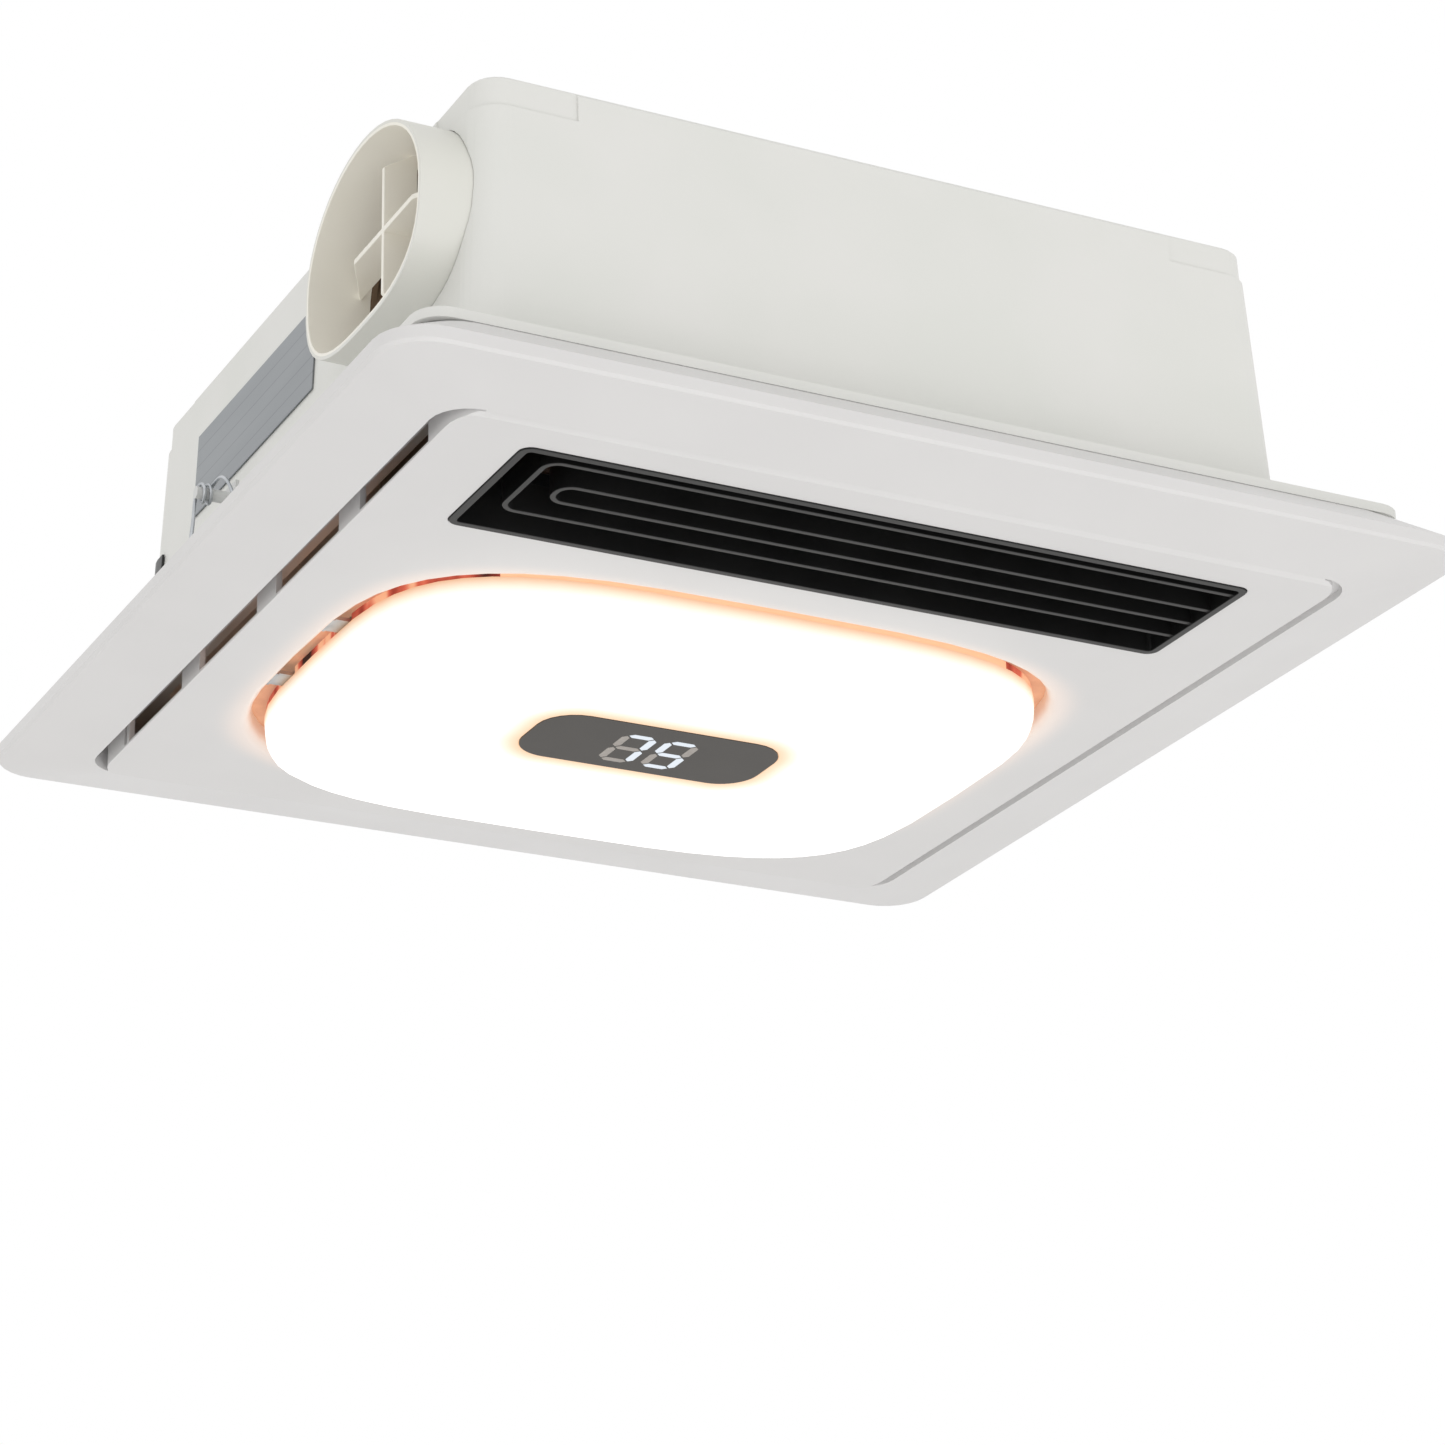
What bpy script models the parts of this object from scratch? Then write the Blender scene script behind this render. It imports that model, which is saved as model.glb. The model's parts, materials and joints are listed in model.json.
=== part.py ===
# Bathroom ceiling heater with lamp, warm air outlet, exhaust spigot and spring-held front panel.
# Metres, +Z up. The origin is the middle of the ceiling plane, which is the flange's top face.
# +X runs along the long side of the outlet grille, and the grille lies towards -Y.

import math

import bmesh
import bpy
from mathutils import Matrix, Vector

# Clearances and shared small values
GAP = 0.0003
OVERRUN = 0.004
CORNER_STEPS = 6
ROUND_STEPS = 32
FINE_ROUND_STEPS = 48
SMALL_ROUND_STEPS = 20
WIRE_HOLE_STEPS = 12
FULL_TURN = 2.0 * math.pi

# Front panel
PANEL_SIDE = 0.450
PANEL_CORNER = 0.020
PANEL_WALL = 0.0025
PANEL_RIM_HEIGHT = 0.006
PANEL_BACK_INSET = 0.018
PANEL_BACK_RISE = 0.0137
PANEL_EDGE_BEVEL = 0.0012
FIELD_HALF_SHARE = 0.425556
FIELD_CORNER = 0.015
FIELD_DROP = 0.005
FIELD_STEP = 0.0015
FIELD_STEP_RUN = 0.0025

# Grooves and intake slots beside the raised field
GROOVE_WIDTH = 0.006
GROOVE_DEPTH = 0.013
SHALLOW_GROOVE_DEPTH = 0.003
GROOVE_TAPER_TIP = 0.0005
SLOT_LENGTH_SHARE = 0.141333
SLOT_PITCH_SHARE = 0.186222
SLOT_FIRST_SHARE = -0.358667
SLOT_COUNT = 4
SLOT_HEIGHT = 0.0100
SLOT_LIP = 0.0010
NOTCH_LENGTH = 0.0030
NOTCH_GAP = 0.0025

# Lamp
LAMP_HALF_X_SHARE = 0.33
LAMP_HALF_Y_SHARE = 0.248889
LAMP_CENTRE_Y_SHARE = 0.09
LAMP_POWER = 3.9
HOLE_POWER = 3.6
LAMP_STEPS = 48
LAMP_WALL = 0.002
LAMP_RIM_RISE = 0.0005
LAMP_DEPTH = 0.0165
RING_GAP = 0.0065
HOLE_ROLL = 0.0045
HOLE_ROLL_HEIGHT = 0.005
HOLE_ROLL_STEPS = 4
COLLAR_RISE = 0.006
LAMP_PROFILE_SHARES = ((1.0, 0.21), (0.996, 0.58), (0.984, 0.82), (0.960, 0.95), (0.925, 1.0))

# Lamp tray, boards and bridges
TRAY_THICKNESS = 0.0012
LED_BOARD_THICKNESS = 0.0015
LED_BOARD_INSET = 0.010
BRIDGE_WIDTH = 0.012
BRIDGE_THICKNESS = 0.0015
BRIDGE_FOOT = 0.010
BRIDGE_SPREAD = 0.060
DRIVER_SIZE = (0.110, 0.042, 0.022)

# Display window in the lamp's lowest face
WINDOW_HALF_X = 0.0538
WINDOW_HALF_Y = 0.0238
WINDOW_CORNER = 0.0162
WINDOW_THICKNESS = 0.0022
WINDOW_PROUD = 0.0002
DISPLAY_BOARD_INSET = 0.006
DISPLAY_BOARD_THICKNESS = 0.0015
SHROUD_WALL = 0.0015

# Outlet grille
GRILLE_HALF_X_SHARE = 0.342222
GRILLE_NEAR_Y_SHARE = -0.386667
GRILLE_FAR_Y_SHARE = -0.228889
GRILLE_CORNER = 0.005
GRILLE_PROUD = 0.0005
GRILLE_FRAME = 0.0030
CROSS_BAR_WIDTH = 0.002
CROSS_BAR_RISE = 0.006
CROSS_BAR_COUNT = 4
RIB_THICKNESS = 0.0022
RIB_DEPTH = 0.012
RIB_RECESS = 0.0008
RIB_CORNER = 0.006
OUTER_LOOP_INSET = 0.014
INNER_LOOP_INSET = 0.027
OUTER_LOOP_SHARES = (0.13, 0.74)
INNER_LOOP_SHARES = (0.36, 0.55)

# Mounting flange
FLANGE_SIDE_SHARE = 0.92
FLANGE_THICKNESS = 0.004
FLANGE_CORNER = 0.012
FLANGE_OPENING_HALF_SHARE = 0.371111
FLANGE_SCREW_PITCH_SHARE = 0.666667
FLANGE_SCREW_HOLE = 0.0025

# Housing shell
SHELL_BASE_HALF_SHARE = 0.387778
SHELL_TOP_HALF_SHARE = 0.376667
SHELL_TOP_Z = 0.122
SHELL_WALL = 0.0025
SHELL_CORNER = 0.013
SHELL_EDGE_BEVEL = 0.0020
PAD_LENGTH = 0.040
PAD_HEIGHT = 0.013
PAD_DEPTH = 0.0011

# Exhaust spigot: an oval for a round duct pressed flat enough to clear the flange
SPIGOT_Y_SHARE = -0.241111
SPIGOT_Z = 0.076
SPIGOT_BORE_HALF_Y_SHARE = 0.118889
SPIGOT_BORE_UP = 0.040
SPIGOT_BORE_DOWN = 0.035
SPIGOT_UP_POWER = 2.0
SPIGOT_DOWN_POWER = 2.9
SPIGOT_WALL = 0.0025
SPIGOT_RIM_X_SHARE = -0.423333
SPIGOT_ROOT_X_SHARE = -0.366
SPIGOT_STEPS = 48
CROSS_THICKNESS = 0.0022
CROSS_FRONT_INSET = 0.0085
CROSS_DEPTH = 0.0135
CROSS_FRONT_HALF_Y = 0.028
CROSS_FRONT_HALF_Z = 0.0265
CROSS_Z = 0.082

# Rating label on the left wall
LABEL_NEAR_Y_SHARE = -0.033333
LABEL_FAR_Y_SHARE = 0.262222
LABEL_LOW_Z = 0.060
LABEL_HIGH_Z = 0.098
LABEL_THICKNESS = 0.0005

# Black rubber pad round the foot of the far left corner
CORNER_PAD_HEIGHT = 0.058
CORNER_PAD_LENGTH = 0.006
CORNER_PAD_THICKNESS = 0.0010

# Cable gland in the far wall
GLAND_X_SHARE = -0.308889
GLAND_Z = 0.056
GLAND_BORE = 0.0045
GLAND_BODY = 0.0085
GLAND_HEAD = 0.012
GLAND_NUT = 0.0105
GLAND_HEAD_LENGTH = 0.011
GLAND_NUT_LENGTH = 0.005
GLAND_SIDES = 12

# Blower scroll, with its axis upright
FAN_X = 0.000
FAN_Y_SHARE = 0.1
SCROLL_LOW_Z = 0.038
SCROLL_HIGH_Z = 0.096
SCROLL_WALL = 0.002
SCROLL_START_RADIUS_SHARE = 0.168889
SCROLL_END_RADIUS_SHARE = 0.248889
SCROLL_START_ANGLE = math.radians(205.0)
SCROLL_END_ANGLE = math.radians(540.0)
SCROLL_STEPS = 40
THROAT_INNER_X_SHARE = -0.16
INLET_RADIUS_SHARE = 0.122222
INLET_RING_WIDTH = 0.008
INLET_RING_HEIGHT = 0.006
MOTOR_HOLE = 0.012

# Impeller, shaft and motor
IMPELLER_RADIUS_SHARE = 0.151111
IMPELLER_INNER_SHARE = 0.124444
IMPELLER_END_CLEARANCE = 0.004
IMPELLER_BACK = 0.003
IMPELLER_RING = 0.004
BLADE_COUNT = 24
BLADE_SHARE = 0.30
HUB_RADIUS = 0.012
HUB_LENGTH = 0.016
SHAFT_RADIUS = 0.004
SHAFT_IN_MOTOR = 0.008
MOTOR_RADIUS_SHARE = 0.093333
MOTOR_HEIGHT = 0.0190
MOTOR_BEVEL = 0.003
MOTOR_PLATE_HALF_SHARE = 0.122222
MOTOR_PLATE_CORNER = 0.010

# Outlet duct between the scroll, the spigot and the heater
DUCT_WALL = 0.002
DUCT_RIGHT_X_SHARE = 0.342222
DUCT_NEAR_Y_SHARE = -0.361111
DUCT_MIDDLE_Y_SHARE = -0.228889
DUCT_FAR_Y_SHARE = -0.118889
DUCT_CHAMBER_RIGHT_X_SHARE = -0.128889
DUCT_LOW_Z = 0.036

# Heater under the duct
HEATER_FRAME_WALL = 0.0025
HEATER_LOW_Z = -0.0035
ELEMENT_HEIGHT = 0.020
ELEMENT_LOW_Z = 0.009
FIN_COUNT = 18
FIN_GAP_SHARE = 0.62
ELEMENT_RAIL = 0.007
CUTOUT_RADIUS = 0.008
CUTOUT_HEIGHT = 0.006
CUTOUT_X_SHARE = 0.133333

# Exhaust damper
DAMPER_X_SHARE = -0.314444
DAMPER_Z = 0.1105
DAMPER_SHAFT_RADIUS = 0.003
DAMPER_LENGTH_SHARE = 0.153333
DAMPER_THICKNESS = 0.0016
DAMPER_END_CLEARANCE = 0.0015
DAMPER_MOTOR_RADIUS = 0.018
DAMPER_MOTOR_LENGTH = 0.014
DAMPER_MOTOR_DROP = 0.012
DAMPER_MOTOR_SHIFT = 0.006

# Control box at the right
BOX_LEFT_X_SHARE = 0.262222
BOX_RIGHT_X_SHARE = 0.355556
BOX_NEAR_Y_SHARE = -0.111111
BOX_FAR_Y_SHARE = 0.244444
BOX_SPLIT_Z = 0.066
BOX_LOW_Z = 0.030
BOX_WALL = 0.0015
BOARD_THICKNESS = 0.0016
BOARD_Z = 0.094
TRANSFORMER_SIZE = (0.026, 0.030, 0.022)
TRANSFORMER_Y_SHARE = 0.173333
RELAY_SIZE = (0.015, 0.018, 0.016)
RELAY_Y = 0.000
RELAY_PITCH = 0.024
COVER_SCREW_HEAD = 0.003
COVER_SCREW_LENGTH = 0.0022
COVER_SCREW_INSET = 0.012

# Small parts hung from the shell's top and walls
CAPACITOR_RADIUS = 0.016
CAPACITOR_HEIGHT = 0.045
CAPACITOR_X_SHARE = 0.284444
CAPACITOR_Y_SHARE = -0.173333
ION_SIZE = (0.046, 0.018, 0.024)
ION_X_SHARE = 0.133333
ION_Z = 0.094
TERMINAL_SIZE = (0.040, 0.018, 0.016)
TERMINAL_X_SHARE = -0.222222
TERMINAL_Z = 0.056

# Panel springs
WIRE_RADIUS = 0.0009
SPRING_X_SHARE = 0.421111
SPRING_Y_SHARE = 0.126667
COIL_RADIUS = 0.0042
COIL_TURNS = 2.25
COIL_POINTS = 8
LEG_POINTS = 4
COIL_PITCH = 0.0026
COIL_Z = 0.042
FOOT_SPREAD_SHARE = 0.162222
FOOT_LENGTH = 0.010
NEAR_LEG_SHARES = ((0.0, 0.0), (0.12, 0.0), (0.24, 0.10), (0.42, 0.40), (0.62, 0.70), (0.80, 0.90))
FAR_LEG_SHARES = ((0.0, 0.0), (0.02, 0.22), (0.08, 0.45), (0.22, 0.68), (0.44, 0.86), (0.70, 0.96))
HOOK_BASE_THICKNESS = 0.002
HOOK_WIDTH = 0.014
HOOK_EAR = 0.002
HOOK_EAR_HEIGHT = 0.0075
HOOK_END = 0.008
WIRE_CLEARANCE = 0.0005
SPRING_SLOT_MARGIN = 0.004
SPRING_SLOT_WIDTH = 0.014
BRACKET_REACH = 0.012
BRACKET_HALF_WIDTH = 0.006
BRACKET_THICKNESS = 0.0015
PEG_RADIUS = 0.0026

# Plan sizes that follow from the panel's side, so that the whole plan grows with it
FIELD_HALF = FIELD_HALF_SHARE * PANEL_SIDE
SLOT_LENGTH = SLOT_LENGTH_SHARE * PANEL_SIDE
SLOT_PITCH = SLOT_PITCH_SHARE * PANEL_SIDE
SLOT_FIRST = SLOT_FIRST_SHARE * PANEL_SIDE
LAMP_HALF_X = LAMP_HALF_X_SHARE * PANEL_SIDE
LAMP_HALF_Y = LAMP_HALF_Y_SHARE * PANEL_SIDE
LAMP_CENTRE_Y = LAMP_CENTRE_Y_SHARE * PANEL_SIDE
GRILLE_HALF_X = GRILLE_HALF_X_SHARE * PANEL_SIDE
GRILLE_NEAR_Y = GRILLE_NEAR_Y_SHARE * PANEL_SIDE
GRILLE_FAR_Y = GRILLE_FAR_Y_SHARE * PANEL_SIDE
FLANGE_SIDE = FLANGE_SIDE_SHARE * PANEL_SIDE
FLANGE_OPENING_HALF = FLANGE_OPENING_HALF_SHARE * PANEL_SIDE
FLANGE_SCREW_PITCH = FLANGE_SCREW_PITCH_SHARE * PANEL_SIDE
SHELL_BASE_HALF = SHELL_BASE_HALF_SHARE * PANEL_SIDE
SHELL_TOP_HALF = SHELL_TOP_HALF_SHARE * PANEL_SIDE
SPIGOT_Y = SPIGOT_Y_SHARE * PANEL_SIDE
SPIGOT_BORE_HALF_Y = SPIGOT_BORE_HALF_Y_SHARE * PANEL_SIDE
SPIGOT_RIM_X = SPIGOT_RIM_X_SHARE * PANEL_SIDE
SPIGOT_ROOT_X = SPIGOT_ROOT_X_SHARE * PANEL_SIDE
LABEL_NEAR_Y = LABEL_NEAR_Y_SHARE * PANEL_SIDE
LABEL_FAR_Y = LABEL_FAR_Y_SHARE * PANEL_SIDE
GLAND_X = GLAND_X_SHARE * PANEL_SIDE
FAN_Y = FAN_Y_SHARE * PANEL_SIDE
SCROLL_START_RADIUS = SCROLL_START_RADIUS_SHARE * PANEL_SIDE
SCROLL_END_RADIUS = SCROLL_END_RADIUS_SHARE * PANEL_SIDE
THROAT_INNER_X = THROAT_INNER_X_SHARE * PANEL_SIDE
INLET_RADIUS = INLET_RADIUS_SHARE * PANEL_SIDE
IMPELLER_RADIUS = IMPELLER_RADIUS_SHARE * PANEL_SIDE
IMPELLER_INNER = IMPELLER_INNER_SHARE * PANEL_SIDE
MOTOR_RADIUS = MOTOR_RADIUS_SHARE * PANEL_SIDE
MOTOR_PLATE_HALF = MOTOR_PLATE_HALF_SHARE * PANEL_SIDE
DUCT_RIGHT_X = DUCT_RIGHT_X_SHARE * PANEL_SIDE
DUCT_NEAR_Y = DUCT_NEAR_Y_SHARE * PANEL_SIDE
DUCT_MIDDLE_Y = DUCT_MIDDLE_Y_SHARE * PANEL_SIDE
DUCT_FAR_Y = DUCT_FAR_Y_SHARE * PANEL_SIDE
DUCT_CHAMBER_RIGHT_X = DUCT_CHAMBER_RIGHT_X_SHARE * PANEL_SIDE
DAMPER_X = DAMPER_X_SHARE * PANEL_SIDE
DAMPER_LENGTH = DAMPER_LENGTH_SHARE * PANEL_SIDE
BOX_LEFT_X = BOX_LEFT_X_SHARE * PANEL_SIDE
BOX_RIGHT_X = BOX_RIGHT_X_SHARE * PANEL_SIDE
BOX_NEAR_Y = BOX_NEAR_Y_SHARE * PANEL_SIDE
BOX_FAR_Y = BOX_FAR_Y_SHARE * PANEL_SIDE
TRANSFORMER_Y = TRANSFORMER_Y_SHARE * PANEL_SIDE
CAPACITOR_X = CAPACITOR_X_SHARE * PANEL_SIDE
CAPACITOR_Y = CAPACITOR_Y_SHARE * PANEL_SIDE
ION_X = ION_X_SHARE * PANEL_SIDE
TERMINAL_X = TERMINAL_X_SHARE * PANEL_SIDE
CUTOUT_X = CUTOUT_X_SHARE * PANEL_SIDE
SPRING_X = SPRING_X_SHARE * PANEL_SIDE
SPRING_Y = SPRING_Y_SHARE * PANEL_SIDE
FOOT_SPREAD = FOOT_SPREAD_SHARE * PANEL_SIDE

# Heights that follow from the sizes above
PANEL_TOP_Z = -FLANGE_THICKNESS - GAP
RIM_TOP_Z = PANEL_TOP_Z - PANEL_BACK_RISE
PANEL_EDGE_Z = RIM_TOP_Z - PANEL_RIM_HEIGHT
FIELD_EDGE_Z = PANEL_EDGE_Z - FIELD_DROP
FIELD_Z = FIELD_EDGE_Z - FIELD_STEP
FIELD_BACK_Z = FIELD_Z + PANEL_WALL
GROOVE_ROOF_Z = FIELD_EDGE_Z + GROOVE_DEPTH
GROOVE_TOP_Z = GROOVE_ROOF_Z + PANEL_WALL
SHALLOW_ROOF_Z = FIELD_EDGE_Z + SHALLOW_GROOVE_DEPTH
COLLAR_TOP_Z = FIELD_BACK_Z + COLLAR_RISE
GROOVE_INNER = FIELD_HALF - GROOVE_WIDTH
LAMP_LOW_Z = FIELD_BACK_Z - LAMP_DEPTH
LAMP_TOP_Z = FIELD_BACK_Z + LAMP_RIM_RISE
BRIDGE_LOW_Z = LAMP_TOP_Z + GAP
BRIDGE_HIGH_Z = BRIDGE_LOW_Z + BRIDGE_THICKNESS
TRAY_TOP_Z = BRIDGE_LOW_Z - GAP
TRAY_LOW_Z = TRAY_TOP_Z - TRAY_THICKNESS
LED_TOP_Z = TRAY_LOW_Z - GAP
LED_LOW_Z = LED_TOP_Z - LED_BOARD_THICKNESS
WINDOW_LOW_Z = LAMP_LOW_Z - WINDOW_PROUD
WINDOW_HIGH_Z = WINDOW_LOW_Z + WINDOW_THICKNESS
DISPLAY_LOW_Z = WINDOW_HIGH_Z + GAP
DISPLAY_HIGH_Z = DISPLAY_LOW_Z + DISPLAY_BOARD_THICKNESS
SHELL_LOW_Z = GAP
SHELL_INSIDE_Z = SHELL_TOP_Z - SHELL_WALL
HANG_Z = SHELL_INSIDE_Z - GAP
DRAFT = (SHELL_BASE_HALF - SHELL_TOP_HALF) / (SHELL_TOP_Z - SHELL_LOW_Z)
SCROLL_OUTLET_Y = DUCT_FAR_Y + GAP
DUCT_HIGH_Z = HANG_Z
MOTOR_LOW_Z = SCROLL_HIGH_Z + GAP
MOTOR_HIGH_Z = MOTOR_LOW_Z + MOTOR_HEIGHT
HEATER_HIGH_Z = DUCT_LOW_Z - GAP
DUCT_LEFT_X = SPIGOT_ROOT_X + GAP
HOOK_LOW_Z = GROOVE_TOP_Z + GAP
FOOT_Z = HOOK_LOW_Z + HOOK_BASE_THICKNESS + WIRE_RADIUS + WIRE_CLEARANCE + WIRE_CLEARANCE


def clear_scene():
    for obj in list(bpy.data.objects):
        bpy.data.objects.remove(obj, do_unlink=True)


def material(name, colour, roughness, metallic=0.0):
    mat = bpy.data.materials.get(name) or bpy.data.materials.new(name)
    mat.use_nodes = True
    shader = mat.node_tree.nodes["Principled BSDF"]
    shader.inputs["Base Color"].default_value = (*colour, 1.0)
    shader.inputs["Roughness"].default_value = roughness
    shader.inputs["Metallic"].default_value = metallic
    return mat


WHITE_PANEL = ("moulded white panel", (0.71, 0.70, 0.69), 0.42)
WHITE_HOUSING = ("moulded off-white housing", (0.74, 0.74, 0.71), 0.48)
BLACK_PLASTIC = ("black plastic", (0.010, 0.010, 0.010), 0.35)
DARK_PLASTIC = ("dark grey plastic", (0.045, 0.043, 0.041), 0.5)
OPAL = ("opal lamp cover", (0.95, 0.92, 0.86), 0.35)
SMOKED = ("smoked display window", (0.115, 0.112, 0.108), 0.3)
ZINC = ("zinc plated steel", (0.55, 0.55, 0.56), 0.35, 1.0)
ALUMINIUM = ("aluminium", (0.62, 0.62, 0.63), 0.4, 1.0)
SILVER_FOIL = ("silver foil label", (0.35, 0.37, 0.38), 0.4)
BOARD_GREEN = ("board laminate", (0.03, 0.13, 0.06), 0.5)
BOARD_WHITE = ("white board laminate", (0.75, 0.74, 0.70), 0.5)
COPPER_TAPE = ("yellow transformer tape", (0.55, 0.36, 0.05), 0.5)
RELAY_BLUE = ("blue relay case", (0.03, 0.09, 0.35), 0.4)
BROWN_DUCT = ("brown duct plastic", (0.115, 0.065, 0.045), 0.55)


def add_object(name, bm, look, place=(0.0, 0.0, 0.0)):
    bmesh.ops.recalc_face_normals(bm, faces=bm.faces[:])
    mesh = bpy.data.meshes.new(name)
    bm.to_mesh(mesh)
    bm.free()
    obj = bpy.data.objects.new(name, mesh)
    obj.location = place
    obj.data.materials.append(material(*look))
    bpy.context.scene.collection.objects.link(obj)
    mesh.shade_smooth()
    mesh.set_sharp_from_angle(angle=math.radians(35.0))
    return obj


def add_cutter(name, bm):
    bmesh.ops.recalc_face_normals(bm, faces=bm.faces[:])
    mesh = bpy.data.meshes.new(name)
    bm.to_mesh(mesh)
    bm.free()
    obj = bpy.data.objects.new(name, mesh)
    obj.hide_render = True
    obj.display_type = "WIRE"
    bpy.context.scene.collection.objects.link(obj)
    return obj


def combine(obj, bm, operation="DIFFERENCE"):
    number = len(obj.modifiers) + 1
    cutter = add_cutter(f"{obj.name}_tool_{number}", bm)
    cutter.parent = obj.parent
    cutter.location = obj.location
    cutter.rotation_euler = obj.rotation_euler
    mod = obj.modifiers.new(f"{operation.lower()} {number}", "BOOLEAN")
    mod.operation = operation
    mod.solver = "EXACT"
    mod.object = cutter


def bevel_edges(obj, width, segments=2, angle=math.radians(40.0)):
    mod = obj.modifiers.new("edge rounding", "BEVEL")
    mod.width = width
    mod.segments = segments
    mod.limit_method = "ANGLE"
    mod.angle_limit = angle


def rounded_outline(half_x, half_y, radius, centre=(0.0, 0.0), steps=CORNER_STEPS):
    points = []
    corners = ((1, 1, 0.0), (-1, 1, 0.25), (-1, -1, 0.5), (1, -1, 0.75))
    for side_x, side_y, start_share in corners:
        for step in range(steps + 1):
            angle = FULL_TURN * (start_share + 0.25 * step / steps)
            x = side_x * (half_x - radius) + radius * math.cos(angle)
            y = side_y * (half_y - radius) + radius * math.sin(angle)
            points.append((centre[0] + x, centre[1] + y))
    return points


def super_outline(half_x, half_y, power, steps, centre=(0.0, 0.0)):
    points = []
    for step in range(steps):
        angle = FULL_TURN * step / steps
        c, s = math.cos(angle), math.sin(angle)
        x = half_x * math.copysign(abs(c) ** (2.0 / power), c)
        y = half_y * math.copysign(abs(s) ** (2.0 / power), s)
        points.append((centre[0] + x, centre[1] + y))
    return points


def loft(loops):
    bm = bmesh.new()
    rows = [[bm.verts.new(point) for point in loop] for loop in loops]
    count = len(rows[0])
    for low, high in zip(rows, rows[1:]):
        for i in range(count):
            j = (i + 1) % count
            bm.faces.new((low[i], low[j], high[j], high[i]))
    bm.faces.new(list(reversed(rows[0])))
    bm.faces.new(rows[-1])
    return bm


def at_height(outline, z):
    return [(x, y, z) for x, y in outline]


def plate(outline, low_z, high_z):
    return loft([at_height(outline, low_z), at_height(outline, high_z)])


def box(low, high):
    bm = bmesh.new()
    size = [b - a for a, b in zip(low, high)]
    centre = [(a + b) / 2 for a, b in zip(low, high)]
    bmesh.ops.create_cube(bm, size=1.0)
    bmesh.ops.scale(bm, vec=size, verts=bm.verts)
    bmesh.ops.translate(bm, vec=centre, verts=bm.verts)
    return bm


def merge_bmeshes(parts):
    bm = bmesh.new()
    for part in parts:
        mesh = bpy.data.meshes.new("piece")
        part.to_mesh(mesh)
        part.free()
        bm.from_mesh(mesh)
        bpy.data.meshes.remove(mesh)
    return bm


def rod(radius, start, end, steps=ROUND_STEPS):
    start, end = Vector(start), Vector(end)
    along = end - start
    bm = bmesh.new()
    bmesh.ops.create_cone(
        bm, cap_ends=True, segments=steps, radius1=radius, radius2=radius, depth=along.length
    )
    turn = Vector((0.0, 0.0, 1.0)).rotation_difference(along).to_matrix().to_4x4()
    bmesh.ops.transform(bm, matrix=Matrix.Translation((start + end) / 2) @ turn, verts=bm.verts)
    return bm


def wall_x(z):
    """Outer half width of the drafted shell at a height."""
    return SHELL_BASE_HALF - DRAFT * (z - SHELL_LOW_Z)


# Front panel and what it carries

def panel_loops(inset, wall):
    half = PANEL_SIDE / 2
    back = half - PANEL_BACK_INSET - inset
    side = half - inset
    edge = side - PANEL_EDGE_BEVEL
    low = FIELD_HALF - FIELD_STEP_RUN
    return [
        at_height(rounded_outline(back, back, PANEL_CORNER), PANEL_TOP_Z + (OVERRUN if wall else 0.0)),
        at_height(rounded_outline(back, back, PANEL_CORNER), PANEL_TOP_Z - (GAP if wall else 0.0) / 2),
        at_height(rounded_outline(side, side, PANEL_CORNER), RIM_TOP_Z),
        at_height(rounded_outline(side, side, PANEL_CORNER), PANEL_EDGE_Z + PANEL_EDGE_BEVEL + wall),
        at_height(rounded_outline(edge, edge, PANEL_CORNER - PANEL_EDGE_BEVEL), PANEL_EDGE_Z + wall),
        at_height(rounded_outline(FIELD_HALF, FIELD_HALF, FIELD_CORNER), FIELD_EDGE_Z + wall),
        at_height(rounded_outline(low, low, FIELD_CORNER - FIELD_STEP_RUN), FIELD_Z + wall),
    ]


def groove_outline(side, widen=0.0):
    """The groove runs along one side of the field and curls round its two corners."""
    outer = FIELD_HALF + widen
    inner = GROOVE_INNER - widen
    pivot = FIELD_HALF - FIELD_CORNER
    points = []
    for step in range(CORNER_STEPS + 1):
        angle = math.radians(90.0) * step / CORNER_STEPS
        points.append((pivot + (outer - pivot) * math.sin(angle), -pivot - (outer - pivot) * math.cos(angle)))
    for step in range(CORNER_STEPS + 1):
        angle = math.radians(90.0) * step / CORNER_STEPS
        points.append((pivot + (outer - pivot) * math.cos(angle), pivot + (outer - pivot) * math.sin(angle)))
    tip = FIELD_HALF - GROOVE_TAPER_TIP - widen - pivot
    for step in range(CORNER_STEPS + 1):
        angle = math.radians(90.0) * (1.0 - step / CORNER_STEPS)
        points.append((pivot + (inner - pivot) * math.cos(angle), pivot + tip * math.sin(angle)))
    for step in range(CORNER_STEPS + 1):
        angle = math.radians(90.0) * step / CORNER_STEPS
        points.append((pivot + (inner - pivot) * math.cos(angle), -pivot - tip * math.sin(angle)))
    return [(side * x, y) for x, y in points]


def slot_cutters(side):
    low_z = FIELD_Z + SLOT_LIP
    high_z = low_z + SLOT_HEIGHT
    inner = side * (GROOVE_INNER - PANEL_WALL - OVERRUN)
    outer = side * (GROOVE_INNER + GROOVE_WIDTH / 2)
    x_low, x_high = sorted((inner, outer))
    parts = []
    for number in range(SLOT_COUNT):
        start = SLOT_FIRST + number * SLOT_PITCH
        parts.append(box((x_low, start, low_z), (x_high, start + SLOT_LENGTH, high_z)))
    notch = SLOT_FIRST + (SLOT_COUNT - 1) * SLOT_PITCH + SLOT_LENGTH + NOTCH_GAP
    parts.append(box((x_low, notch, low_z), (x_high, notch + NOTCH_LENGTH, high_z)))
    return merge_bmeshes(parts)


def lamp_outline(grow, steps=LAMP_STEPS):
    return super_outline(LAMP_HALF_X + grow, LAMP_HALF_Y + grow, LAMP_POWER, steps, (0.0, LAMP_CENTRE_Y))


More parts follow.
